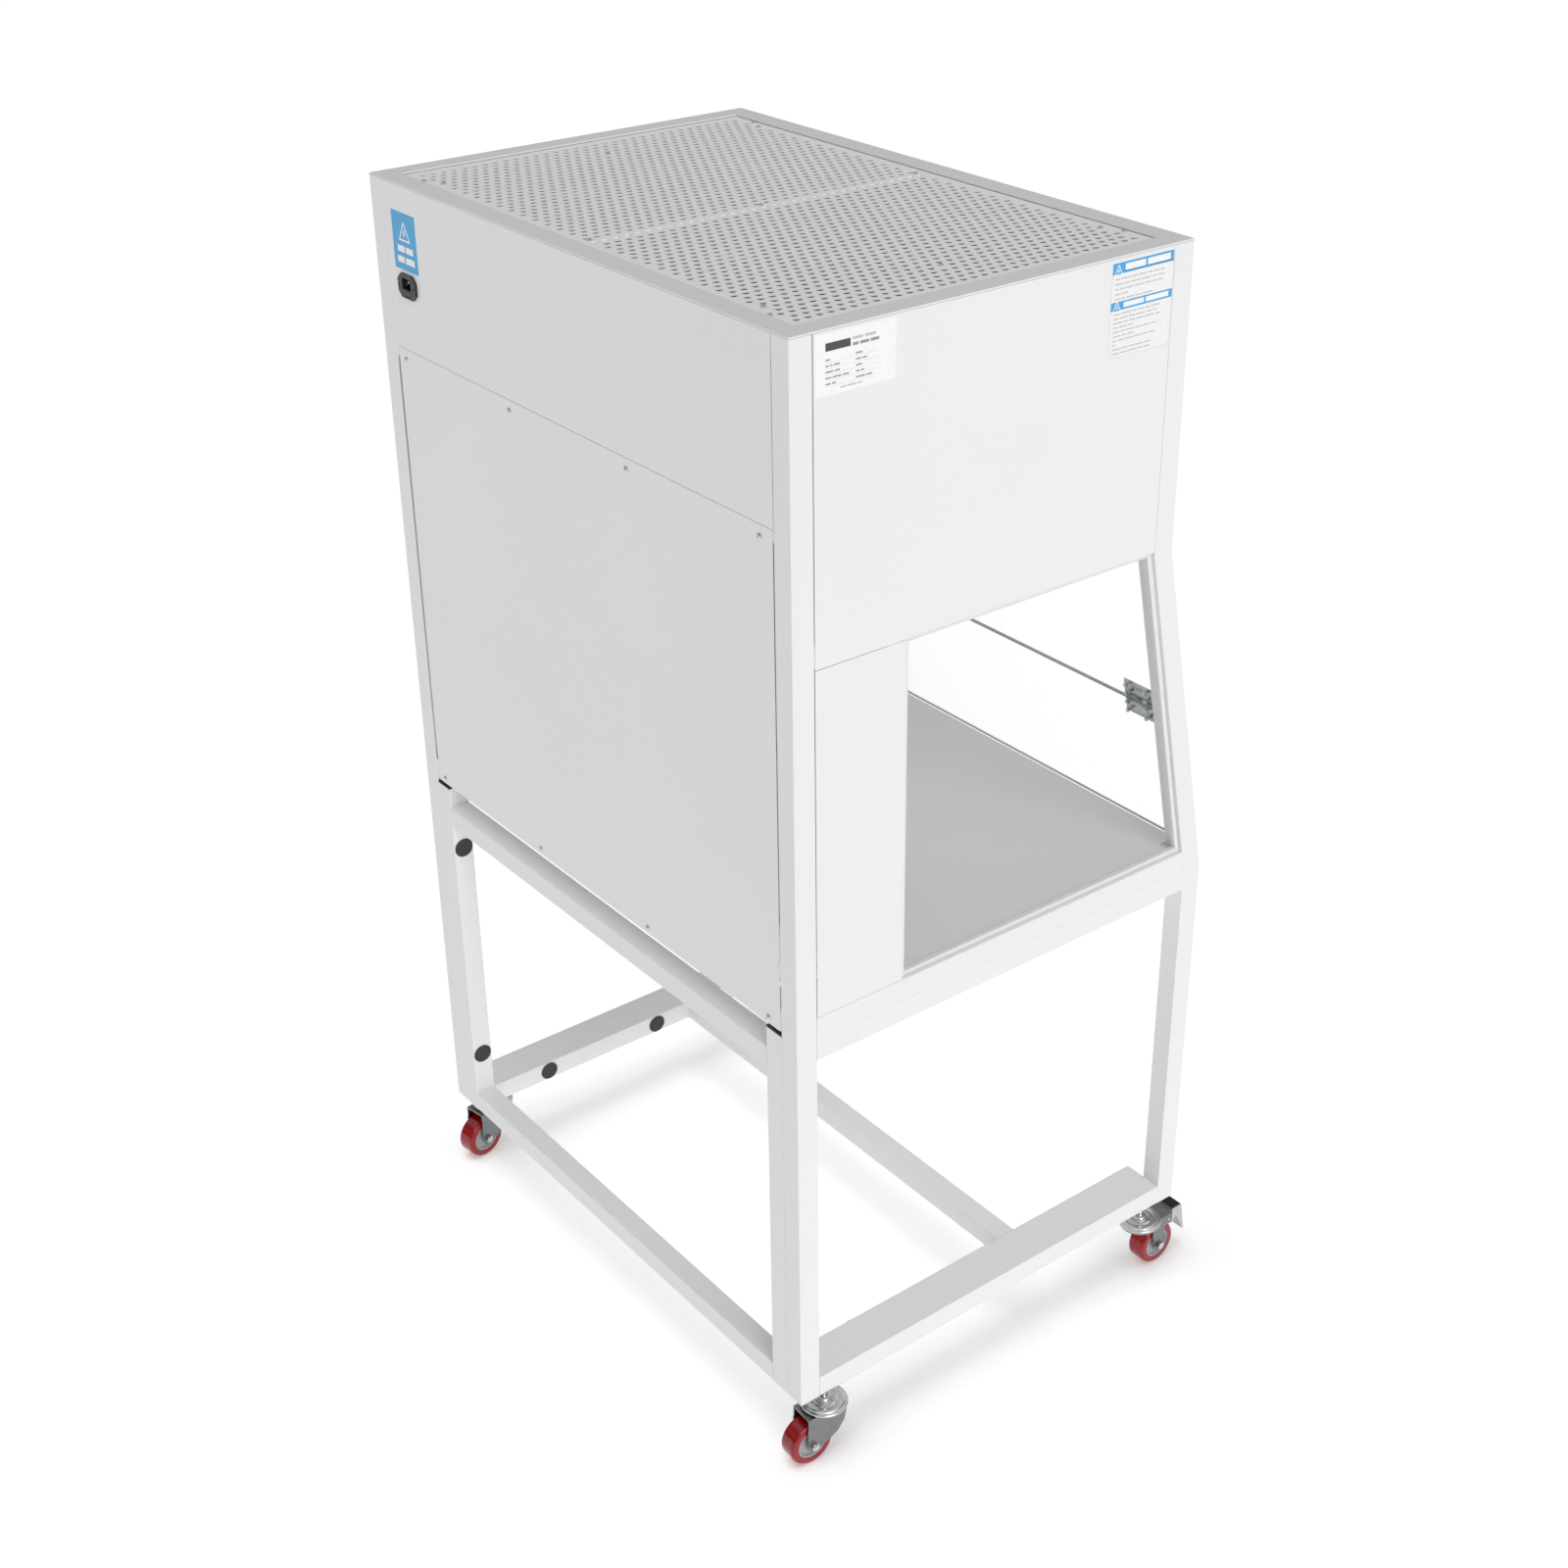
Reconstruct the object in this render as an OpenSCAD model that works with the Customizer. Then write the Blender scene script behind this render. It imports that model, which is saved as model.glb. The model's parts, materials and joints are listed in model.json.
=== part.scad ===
// Mobile laminar-flow clean bench on a knock-down castor stand.
// X runs along the worktop, the operator stands at -Y, Z is up.
// The origin is on the floor, below the middle of the overall box.
// A depth is measured forward from the back face of the cabinet.

/* [Cabinet] */
// Width over the side frames
cab_w = 1000; // [700:10:1500]
// Depth of the upper box, back face to front fascia
top_d = 672; // [600:4:760]
// Depth at the foot of the cabinet and of the stand
base_d = 785; // [770:5:920]
// Height of the top rim above the floor
overall_h = 1771; // [1700:1:1900]
// Height of the seam between cabinet and stand
seam_z = 776; // [600:1:800]
// Height where the front starts to slope outwards
break_z = 1327; // [1250:1:1340]
// Height of the window top and of the work chamber ceiling
window_top_z = 1334; // [1310:1:1360]
// Height of the seam between the two back panels
back_seam_z = 1521; // [1450:1:1600]
// Depth of the strip panel that hides the filter, at the back of each window
filter_d = 186; // [170:1:220]

/* [Tube and sheet] */
// Outside size of the square tube
tube = 35; // [30:1:40]
// Wall of the square tube
tube_wall = 1.5; // [1:0.1:2.5]
// Thickness of the steel panels
sheet = 1.2; // [0.8:0.1:2]
// Visible seam between neighbouring panels
seam = 0.8; // [0.3:0.1:1.5]
// Slit left between welded tubes
weld_slit = 0.05; // [0.02:0.01:0.1]

/* [Top] */
// Thickness of the top rim, and how far the grille lies below it
rim_t = 3; // [2:0.5:6]
// Thickness of the intake grille
grille_t = 1.5; // [1:0.1:2]
// Height of the rails that carry the grille
top_rail_h = 25; // [20:1:40]
// Width of the rails that carry the grille
top_rail_w = 52; // [45:1:60]
// Thickness of the pre-filter mat
mat_t = 12; // [6:1:25]

/* [Windows] */
// Thickness of every glass pane
glass_t = 5; // [4:0.5:6]
// Depth of the rebate that holds a side glass
rebate_d = 6; // [6:0.5:8]
// Width of the flange that a side glass lies against
flange_w = 8; // [6:1:12]
// Thickness of that flange
flange_t = 9; // [6:1:12]
// How far the front glass lies behind the sloping face
front_inset = 6; // [5:0.5:9]
// Height of the hinge line of the front flap
hinge_z = 1041; // [980:1:1120]

/* [Hinges] */
// Width of a hinge
hinge_w = 57; // [40:1:80]
// Height of one hinge leaf
leaf_h = 29; // [22:1:40]
// Thickness of a hinge leaf
leaf_t = 1.5; // [1:0.1:2]
// Diameter of a hinge pin
pin_d = 3; // [2.5:0.1:4]
// Distance from the middle plane to the middle of a hinge
hinge_x = 406.5; // [250:0.5:410]

/* [Stand] */
// Height of the underside of the stand tubes above the floor
stand_z = 130; // [120:1:160]
// Gap between the cabinet seam and the top rail of the inner frame
rear_rail_drop = 34; // [20:1:80]
// Depth of the rear face of the bottom cross rail
cross_rail_d = 455; // [300:5:600]

/* [Castors] */
// Radius of a castor wheel
wheel_r = 37.5; // [31:0.5:40]
// Width of a castor wheel
wheel_w = 32; // [25:1:34]
// Offset of the wheel axle from the swivel axis
trail = 32; // [24:1:38]
// Radius of the castor raceway
raceway_r = 36; // [30:1:40]
// Height of the top of the raceway above the floor
raceway_z = 100; // [96:1:110]
// Distance from the stand's ends to the swivel axes
castor_inset = 56; // [50:1:90]
// Diameter of the wheel axle
axle_d = 8; // [6:0.5:10]
// Thread diameter of the castor stem
stem_d = 12; // [10:1:14]

/* [Inside] */
// Diameter of the blower wheel
impeller_d = 220; // [180:5:240]
// Width of the blower wheel
impeller_w = 100; // [80:5:130]
// Depth of the filter from face to face
filter_t = 69; // [60:1:90]
// Diameter of the lamp tubes
lamp_d = 26; // [16:1:28]

/* [Hidden] */

// ---- sides, directions and small allowances ----
left = -1;
right = 1;
sides = [left, right];
cut = 1;          // overshoot of a cutting shape past the face that it cuts
fit = 0.5;        // clearance round a pane, a panel or a lid
smooth = 48;      // segments of a large circle
fine = 24;        // segments of a small circle

// ---- castor headings: the way each wheel trails, in degrees from +X ----
rear_left_heading = 87;
rear_right_heading = 100;
front_left_heading = 271;
front_right_heading = 266;
pedal_reach = 94; // from the swivel axis to the tip of the brake pedal

// ---- the cabinet's place along Y, so that the overall box is centred ----
rear_overhang = trail * sin(rear_left_heading) + wheel_r - castor_inset;
front_overhang = pedal_reach - castor_inset;
back_y = base_d / 2 + (front_overhang - rear_overhang) / 2;
function at_depth(d) = back_y - d;

half_w = cab_w / 2;
inner_x = half_w - tube;            // inside face of the side frames
frame2_x = inner_x - tube;          // inside face of the bolted inner frame
rail_top_z = seam_z + tube;         // top of the cabinet's bottom side rails
rim_z = overall_h - rim_t;          // underside of the rim, top of the grille
rail_z = rim_z - grille_t - top_rail_h;
slope = (base_d - top_d) / (break_z - seam_z);
slope_angle = atan(slope);
function front_depth(z) = z >= break_z ? top_d : top_d + (break_z - z) * slope;
function slope_length(z) = (break_z - z) / cos(slope_angle);

// ---- shared shapes ----

// A square tube, open at both ends: lo is its lowest corner, along is 0, 1 or 2 for X, Y or Z
module tube_bar(lo, size, along) {
  bore = [for (i = [0:2]) i == along ? size[i] + 2 * cut : size[i] - 2 * tube_wall];
  start = [for (i = [0:2]) i == along ? -cut : tube_wall];
  translate(lo) difference() {
    cube(size);
    translate(start) cube(bore);
  }
}

// A box from one depth to another, in front of the back face
module depth_box(x0, x1, d0, d1, z0, z1) {
  translate([x0, at_depth(d1), z0]) cube([x1 - x0, d1 - d0, z1 - z0]);
}

// A flat outline of [depth, height] points, extruded along X from x0
module side_outline(x0, thick, points) {
  translate([x0, 0, 0]) rotate([90, 0, 90]) linear_extrude(thick)
    polygon([for (p = points) [at_depth(p[0]), p[1]]]);
}

// Places its children in the plane of the sloping front: -Z runs down the slope, -Y points out
module on_slope() {
  translate([0, at_depth(top_d), break_z]) rotate([-slope_angle, 0, 0]) children();
}

// A cylinder along X, through p
module x_rod(p, d, length, segments = fine) {
  translate(p) rotate([0, 90, 0]) cylinder(d = d, h = length, $fn = segments);
}

// A cylinder that points to the back, from p
module y_rod(p, d, length, segments = fine) {
  translate(p) rotate([-90, 0, 0]) cylinder(d = d, h = length, $fn = segments);
}

// ---- stand ----
joint_bolt_d = 8;
joint_bolt_play = 0.4;
access_d = 30;                       // hole that the joining bolt is reached through
cap_flange_d = 33;
cap_flange_t = 1.2;
post_bolt_z = [seam_z - 115.5, seam_z - 532.5];
rail_bolt_d = [148, 382.5];
tube_mid_z = stand_z + tube / 2;

// Places its children at each joining bolt of one side, at the inside of the inner frame
module at_joints(side) {
  for (z = post_bolt_z) translate([side * frame2_x, at_depth(tube / 2), z]) children();
  for (d = rail_bolt_d) translate([side * frame2_x, at_depth(d), tube_mid_z]) children();
}

// Places its children on the swivel axis of one castor, at floor level
module at_castor(side, rear) {
  d = rear ? castor_inset : base_d - castor_inset;
  translate([side * (half_w - tube / 2), at_depth(d), 0]) children();
}

// A cylinder along X that cuts both walls next to x, on one side
module joint_hole(side, x, d, reach) {
  translate([side * x - reach, 0, 0]) rotate([0, 90, 0]) cylinder(d = d, h = 2 * reach, $fn = fine);
}

module stand_frame(side) {
  x0 = side > 0 ? inner_x : -half_w;
  rail_d0 = tube + weld_slit;
  rail_len = base_d - 2 * rail_d0;
  color("white") difference() {
    union() {
      for (d = [0, base_d - tube])
        tube_bar([x0, at_depth(d + tube), stand_z], [tube, tube, seam_z - stand_z], 2);
      for (z = [stand_z, seam_z - tube])
        tube_bar([x0, at_depth(base_d - rail_d0), z], [tube, rail_len, tube], 1);
    }
    at_joints(side)
      joint_hole(side, inner_x - frame2_x, joint_bolt_d + joint_bolt_play, 2 * tube_wall);
    for (rear = [true, false]) at_castor(side, rear)
      translate([0, 0, stand_z - cut]) cylinder(d = stem_d + fit, h = tube_wall + 2 * cut, $fn = fine);
  }
}

module stand_frame_left() stand_frame(left);
module stand_frame_right() stand_frame(right);

// Back posts, two cross rails at the back, bottom side rails and a cross rail set back for the feet
module stand_inner_frame() {
  gap = weld_slit;
  rail_end = base_d - tube - fit;
  span = 2 * (frame2_x - gap);
  rear_rail_z = seam_z - rear_rail_drop - tube;
  color("white") difference() {
    union() {
      for (side = sides) {
        x0 = side > 0 ? frame2_x : -inner_x + gap;
        tube_bar([x0, at_depth(tube), stand_z], [tube - gap, tube, seam_z - stand_z], 2);
        tube_bar([x0, at_depth(rail_end), stand_z], [tube - gap, rail_end - tube - gap, tube], 1);
      }
      tube_bar([-span / 2, at_depth(tube), rear_rail_z], [span, tube, tube], 0);
      tube_bar([-span / 2, at_depth(tube), stand_z], [span, tube, tube], 0);
      tube_bar([-span / 2, at_depth(cross_rail_d + tube), stand_z], [span, tube, tube], 0);
    }
    for (side = sides) at_joints(side) {
      joint_hole(side, 0, access_d, 2 * tube_wall);
      joint_hole(side, tube, joint_bolt_d + joint_bolt_play, 2 * tube_wall);
    }
  }
}

// Round caps over the bolt access holes and square caps in the tops of the inner posts
module stand_plugs() {
  plug_l = 6;
  cap_h = 3;
  color("black") for (side = sides) {
    at_joints(side) {
      x_rod([side > 0 ? -cap_flange_t : 0, 0, 0], cap_flange_d, cap_flange_t, smooth);
      x_rod([side > 0 ? 0 : -plug_l, 0, 0], access_d - fit, plug_l, smooth);
    }
    x0 = side > 0 ? frame2_x : -inner_x + weld_slit;
    wide = tube - weld_slit;
    bore = tube - 2 * tube_wall - fit;
    translate([x0, at_depth(tube), seam_z]) cube([wide, tube, cap_h]);
    translate([x0 + (wide - bore) / 2, at_depth(tube) + (tube - bore) / 2, seam_z - 2 * plug_l])
      cube([bore, bore, 2 * plug_l + cap_h]);
  }
}

// Each joining bolt: its head inside the inner frame, its shank through both walls, a nut beyond
module stand_bolts() {
  head_d = 13;
  head_h = 5;
  inner_wall = tube - tube_wall - weld_slit;
  color("silver") for (side = sides) at_joints(side) mirror([side > 0 ? 0 : 1, 0, 0]) {
    x_rod([inner_wall - head_h, 0, 0], head_d, head_h);
    x_rod([inner_wall - cut, 0, 0], joint_bolt_d, 2 * tube_wall + head_h + 2 * cut);
    x_rod([tube + tube_wall, 0, 0], head_d, head_h, 6);
  }
}

// ---- cabinet frame ----
back_rail_z = seam_z + 9;            // the back rail sits above the caps of the stand's posts

// The sloping part of a front post, a tube whose ends are cut level
module sloping_post(side) {
  x0 = side > 0 ? inner_x : -half_w;
  top = break_z - weld_slit;
  wall_d = tube_wall / cos(slope_angle);
  difference() {
    side_outline(x0, tube, [
      [front_depth(seam_z), seam_z], [front_depth(top), top],
      [front_depth(top) - tube, top], [front_depth(seam_z) - tube, seam_z]
    ]);
    side_outline(x0 + tube_wall, tube - 2 * tube_wall, [
      [front_depth(seam_z) - wall_d + slope * cut, seam_z - cut], [front_depth(top) - wall_d, top + cut],
      [front_depth(top) - tube + wall_d, top + cut],
      [front_depth(seam_z) - tube + wall_d + slope * cut, seam_z - cut]
    ]);
  }
}

// A bottom side rail, whose front end is cut to the slope
module bottom_side_rail(side) {
  x0 = side > 0 ? inner_x : -half_w;
  d0 = tube + weld_slit;
  end = tube + weld_slit;
  difference() {
    side_outline(x0, tube, [
      [d0, seam_z], [front_depth(seam_z) - end, seam_z],
      [front_depth(rail_top_z) - end, rail_top_z], [d0, rail_top_z]
    ]);
    depth_box(x0 + tube_wall, x0 + tube - tube_wall, d0 - cut, base_d,
              seam_z + tube_wall, rail_top_z - tube_wall);
  }
}

// The flange behind the edges of a side window: four strips that the glass lies against
module window_flange(side) {
  x0 = side > 0 ? half_w - rebate_d - flange_t : -half_w + rebate_d;
  s = weld_slit;
  low = rail_top_z;
  high = window_top_z;
  function post(z) = front_depth(z) - tube - 2 * s;
  side_outline(x0, flange_t, [
    [filter_d, low + s], [post(low), low + s],
    [post(low + flange_w), low + flange_w], [filter_d, low + flange_w]
  ]);
  side_outline(x0, flange_t, [
    [post(low + flange_w), low + flange_w + s], [post(break_z), break_z], [post(high), high - s],
    [post(high) - flange_w, high - s], [post(break_z) - flange_w, break_z],
    [post(low + flange_w) - flange_w, low + flange_w + s]
  ]);
  side_outline(x0, flange_t, [
    [filter_d, high - flange_w], [post(high) - flange_w - s, high - flange_w],
    [post(high) - flange_w - s, high - s], [filter_d, high - s]
  ]);
  side_outline(x0, flange_t, [
    [filter_d, low + flange_w + s], [filter_d + flange_w, low + flange_w + s],
    [filter_d + flange_w, high - flange_w - s], [filter_d, high - flange_w - s]
  ]);
}

module cabinet_frame() {
  s = weld_slit;
  clear_x = inner_x - s;
  post_top = rim_z;
  front_rail_d = front_depth(rail_top_z) - 2 * front_inset - glass_t - tube;
  color("white") {
    for (side = sides) {
      x0 = side > 0 ? inner_x : -half_w;
      skin_x0 = side > 0 ? inner_x : -half_w + sheet + s;
      tube_bar([x0, at_depth(tube), seam_z], [tube, tube, post_top - seam_z], 2);
      tube_bar([x0, at_depth(top_d), break_z], [tube, tube, post_top - break_z], 2);
      sloping_post(side);
      bottom_side_rail(side);
      window_flange(side);
      // rail behind the seam under the upper side panel
      tube_bar([skin_x0, at_depth(top_d - tube - s), window_top_z + sheet + s],
               [tube - sheet - s, top_d - 2 * tube - 2 * s, tube], 1);
      // rails under the grille, at the sides
      tube_bar([side > 0 ? half_w - top_rail_w : -half_w + sheet + s,
                at_depth(top_d - top_rail_w - s), rail_z],
               [top_rail_w - sheet - s, top_d - 2 * top_rail_w - 2 * s, top_rail_h], 1);
    }
    // rails under the grille, at the back, the front and the middle
    for (d = [sheet + s, top_d - top_rail_w])
      tube_bar([-clear_x, at_depth(d + top_rail_w - sheet - s), rail_z],
               [2 * clear_x, top_rail_w - sheet - s, top_rail_h], 0);
    tube_bar([-top_rail_h / 2, at_depth(top_d - top_rail_w - s), rail_z],
             [top_rail_h, top_d - 2 * top_rail_w - 2 * s, top_rail_h], 1);
    // back rails: at the foot, and behind the seam of the back panels
    for (z = [back_rail_z, back_seam_z - tube / 2])
      tube_bar([-clear_x, at_depth(sheet + s + tube), z], [2 * clear_x, tube, tube], 0);
    // front rails: under the worktop, and above the front glass
    tube_bar([-clear_x, at_depth(front_rail_d + tube), seam_z], [2 * clear_x, tube, tube - s], 0);
    tube_bar([-clear_x, at_depth(top_d - sheet - s), window_top_z + sheet + s],
             [2 * clear_x, tube, tube], 0);
  }
}

// ---- top ----
grille_w = cab_w - 2 * tube - 2 * fit;
grille_len = top_d - 2 * tube - 2 * fit;
hole_margin = 20;                    // plain border of the grille
coarse_hole_d = 32;
coarse_pitch = 70;
screw_head_d = 8;
screw_head_h = 2.4;
screw_d = 4;
screw_column_x = 380 / 465 * inner_x;
screw_row_d = [tube + 20, top_d / 2, top_d - tube - 20];
corner_screw_x = inner_x - 54;
corner_screw_d = [tube + 6, top_d - tube - 6];
panel_screw_x = [for (i = [-1.5:1:1.5]) i * (2 * inner_x - 56) / 3];
panel_screw_top_z = back_seam_z - 16;
panel_screw_low_z = back_rail_z + 10.5;

// Frame of sheet round the grille, level with the outside of the cabinet
module top_rim() {
  color("white") translate([0, at_depth(top_d / 2), rim_z]) linear_extrude(rim_t) difference() {
    square([cab_w, top_d], center = true);
    square([cab_w - 2 * tube, top_d - 2 * tube], center = true);
  }
}

// Places its children at each grille screw, on the grille's top face
module at_grille_screws() {
  for (x = [-screw_column_x, 0, screw_column_x]) for (d = screw_row_d)
    translate([x, at_depth(d), rim_z]) children();
  for (x = [-corner_screw_x, corner_screw_x]) for (d = corner_screw_d)
    translate([x, at_depth(d), rim_z]) children();
}

// Places its children at each screw of the access panel, with +Z pointing to the back
module at_panel_screws() {
  for (x = panel_screw_x) for (z = [panel_screw_top_z, panel_screw_low_z])
    translate([x, at_depth(0), z]) rotate([-90, 0, 0]) children();
}

// The plate's fine perforation is drawn coarsely, with the same share of open area
module intake_grille() {
  columns = floor((inner_x - hole_margin - coarse_hole_d) / (coarse_pitch * cos(30)));
  rows = floor((grille_len - 2 * hole_margin - coarse_hole_d) / coarse_pitch - 0.5);
  color("gainsboro") difference() {
    translate([0, at_depth(top_d / 2), rim_z - grille_t]) linear_extrude(grille_t)
      square([grille_w, grille_len], center = true);
    for (side = sides) for (i = [0:columns - 1]) for (j = [0:rows - 1])
      translate([side * (hole_margin + coarse_hole_d + i * coarse_pitch * cos(30)),
                 at_depth(tube + hole_margin + coarse_hole_d + (j + (i % 2) / 2) * coarse_pitch),
                 rim_z - grille_t - cut])
        cylinder(d = coarse_hole_d, h = grille_t + 2 * cut, $fn = fine);
    at_grille_screws() translate([0, 0, -grille_t - cut])
      cylinder(d = screw_d + fit, h = grille_t + 2 * cut, $fn = fine);
  }
}

// A pan-head screw whose head stands on the plane Z = 0
module pan_screw(length) {
  translate([0, 0, -length]) cylinder(d = screw_d, h = length, $fn = fine);
  difference() {
    union() {
      cylinder(d = screw_head_d, h = screw_head_h / 2, $fn = fine);
      translate([0, 0, screw_head_h / 2])
        cylinder(d1 = screw_head_d, d2 = screw_head_d * 0.6, h = screw_head_h / 2, $fn = fine);
    }
    for (turn = [0, 90]) rotate(turn) translate([-1.8, -0.4, screw_head_h - 1])
      cube([3.6, 0.8, 1 + cut]);
  }
}

module panel_screws() {
  color("silver") {
    at_grille_screws() pan_screw(grille_t);
    at_panel_screws() pan_screw(sheet);
  }
}

// Two mats that stop short of the front row of holes
module prefilter() {
  mat_gap = top_rail_h + 2 * fit;
  front_d = top_d - top_rail_w - fit;
  color("lightgray") for (side = sides) {
    wide = half_w - top_rail_w - mat_gap / 2 - fit;
    x0 = side > 0 ? mat_gap / 2 : -mat_gap / 2 - wide;
    depth_box(x0, x0 + wide, top_rail_w + fit, front_d, rim_z - grille_t - mat_t, rim_z - grille_t);
  }
}

// ---- blower ----
blower_x = 0;
impeller_clear = 14;                 // from the impeller to the scroll at its cut-off
housing_t = 1.2;
housing_w = impeller_w + 24;
blower_z = window_top_z + sheet + tube + impeller_d / 2 + impeller_clear;
blower_back_gap = 25;                // from the rear tubes to the impeller's widest clearance
blower_d = tube + blower_back_gap + impeller_d / 2 + impeller_clear;
scroll_growth = 20;
cut_off_angle = 50;                  // of the cut-off, below the shaft and behind it
motor_d = 92;
motor_l = 80;
shaft_d = 12;
shaft_play = 0.05;

// Scroll that opens to the plenum below it, as [depth, height] points round the shaft
function scroll_radius(t) = impeller_d / 2 + impeller_clear + t * scroll_growth;
function scroll_points(extra) = [
  for (i = [0:24]) let (t = i / 24, a = (360 - cut_off_angle) * (1 - t))
    [blower_d - (scroll_radius(t) + extra) * cos(a), blower_z + (scroll_radius(t) + extra) * sin(a)]
];
outlet_d0 = blower_d - scroll_radius(1) - housing_t;
outlet_w = scroll_radius(1) - scroll_radius(0) * cos(cut_off_angle) + 2 * housing_t;

module scroll_outline(extra) {
  polygon([for (p = scroll_points(extra)) [at_depth(p[0]), p[1]]]);
}

module blower_housing() {
  x0 = blower_x - housing_w / 2;
  inlet_d = impeller_d * 0.72;
  duct_z0 = window_top_z + sheet;
  duct_d1 = outlet_d0 + outlet_w;
  color("silver") difference() {
    union() {
      translate([x0, 0, 0]) rotate([90, 0, 90]) linear_extrude(housing_w) scroll_outline(housing_t);
      depth_box(x0, x0 + housing_w, outlet_d0, duct_d1, duct_z0, blower_z);
    }
    translate([x0 + housing_t, 0, 0]) rotate([90, 0, 90])
      linear_extrude(housing_w - 2 * housing_t) scroll_outline(0);
    depth_box(x0 + housing_t, x0 + housing_w - housing_t, outlet_d0 + housing_t, duct_d1 - housing_t,
              duct_z0 - cut, blower_z);
    x_rod([x0 - cut, at_depth(blower_d), blower_z], inlet_d, housing_t + 2 * cut, smooth);
    x_rod([x0 + housing_w - housing_t - cut, at_depth(blower_d), blower_z], shaft_d + 10,
          housing_t + 2 * cut);
  }
}

// Motor on the outside of the scroll, with its shaft through the wall
module blower_motor() {
  x0 = blower_x + housing_w / 2;
  p = [x0, at_depth(blower_d), blower_z];
  color("dimgray") {
    x_rod(p, motor_d, motor_l, smooth);
    x_rod([x0 - housing_w + 30, p[1], p[2]], shaft_d, housing_w, fine);
  }
}

module blower_impeller() {
  blades = 24;
  x0 = blower_x - impeller_w / 2;
  plate_t = 2;
  hub_l = 24;
  color("gainsboro") translate([x0, at_depth(blower_d), blower_z]) rotate([0, 90, 0]) {
    difference() {
      union() {
        translate([0, 0, impeller_w - plate_t]) cylinder(d = impeller_d, h = plate_t, $fn = smooth);
        translate([0, 0, impeller_w - hub_l]) cylinder(d = shaft_d + 16, h = hub_l, $fn = fine);
      }
      translate([0, 0, -cut])
        cylinder(d = shaft_d + 2 * shaft_play, h = impeller_w + 2 * cut, $fn = fine);
    }
    difference() {
      cylinder(d = impeller_d, h = plate_t, $fn = smooth);
      translate([0, 0, -cut]) cylinder(d = impeller_d * 0.8, h = plate_t + 2 * cut, $fn = smooth);
    }
    for (i = [0:blades - 1]) rotate(i * 360 / blades)
      translate([impeller_d * 0.41, 0, plate_t / 2]) rotate(35)
        cube([impeller_d * 0.085, 1, impeller_w - plate_t]);
  }
}

// ---- work chamber ----
lamp_z = window_top_z - lamp_d / 2 - 12;
lamp_depths = [top_d - 180, top_d - 105];
lamp_len = 2 * inner_x - 130;
filter_front_d = filter_d - 2;
filter_low_z = rail_top_z + sheet + 4;

// Ceiling of the chamber and deck of the blower, with a hole over the plenum
module chamber_ceiling() {
  outlet_x = housing_w / 2 - housing_t;
  color("white") difference() {
    depth_box(-inner_x + fit, inner_x - fit, sheet + 1 + tube + fit, top_d - tube - 2 * fit,
              window_top_z, window_top_z + sheet);
    depth_box(-outlet_x, outlet_x, outlet_d0 + housing_t, outlet_d0 + outlet_w - housing_t,
              window_top_z - cut, window_top_z + sheet + cut);
  }
}

// Frame of the filter cassette, as four bars
module hepa_frame() {
  bar = 20;
  d0 = filter_front_d - filter_t;
  x = inner_x - 2 * fit;
  z0 = filter_low_z;
  z1 = window_top_z - fit;
  color("silver") {
    for (z = [z0, z1 - bar]) depth_box(-x, x, d0, filter_front_d, z, z + bar);
    for (side = sides) {
      x0 = side > 0 ? x - bar : -x;
      depth_box(x0, x0 + bar, d0, filter_front_d, z0 + bar + weld_slit, z1 - bar - weld_slit);
    }
  }
}

module hepa_pack() {
  bar = 20 + weld_slit;
  x = inner_x - 2 * fit - bar;
  color("whitesmoke") depth_box(-x, x, filter_front_d - filter_t + 4, filter_front_d - 4,
                                filter_low_z + bar, window_top_z - fit - bar);
}

// Slotted screen in front of the filter
module diffuser_screen() {
  columns = 30;
  slot_w = 18;
  slot_h = 140;
  rows = 3;
  wide = 2 * (inner_x - 2 * fit);
  high = window_top_z - fit - filter_low_z;
  color("whitesmoke") translate([0, at_depth(filter_d - sheet / 2), filter_low_z + high / 2])
    rotate([90, 0, 0]) linear_extrude(sheet, center = true) difference() {
      square([wide, high], center = true);
      for (i = [0:columns - 1]) for (j = [0:rows - 1])
        translate([(i - (columns - 1) / 2) * wide / (columns + 1), (j - 1) * high / rows])
          square([slot_w, slot_h], center = true);
    }
}

// Stainless sheet that lies on the bottom rails, folded down at its front edge
module worktop() {
  t = 1.5;
  flange_x = half_w - rebate_d - flange_t - fit;
  edge_d = front_depth(rail_top_z) - 2 * front_inset - fit;
  low_x = inner_x - 3 * fit;
  post_d = edge_d - tube;
  color("silver") {
    depth_box(-flange_x, flange_x, filter_d + fit, post_d, rail_top_z + weld_slit, rail_top_z + t);
    depth_box(-low_x, low_x, post_d, edge_d, rail_top_z + weld_slit, rail_top_z + t);
    depth_box(-low_x, low_x, edge_d - t, edge_d, rail_top_z - 24, rail_top_z + t);
  }
}

// A side pane in its rebate
module side_glass(side) {
  x0 = side > 0 ? half_w - rebate_d + (rebate_d - glass_t) / 2 : -half_w + (rebate_d - glass_t) / 2;
  low = rail_top_z + fit;
  high = window_top_z - fit;
  edge = tube + fit + weld_slit;
  color("lightcyan", 0.3) side_outline(x0, glass_t, [
    [filter_d + fit, low], [front_depth(low) - edge, low],
    [front_depth(break_z) - edge, break_z], [front_depth(high) - edge, high], [filter_d + fit, high]
  ]);
}

module side_glass_left() side_glass(left);
module side_glass_right() side_glass(right);

// Straight tubes: one for light, one for ultraviolet
module lamp_tubes() {
  color("white") for (d = lamp_depths) x_rod([-lamp_len / 2, at_depth(d), lamp_z], lamp_d, lamp_len, smooth);
}

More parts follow.
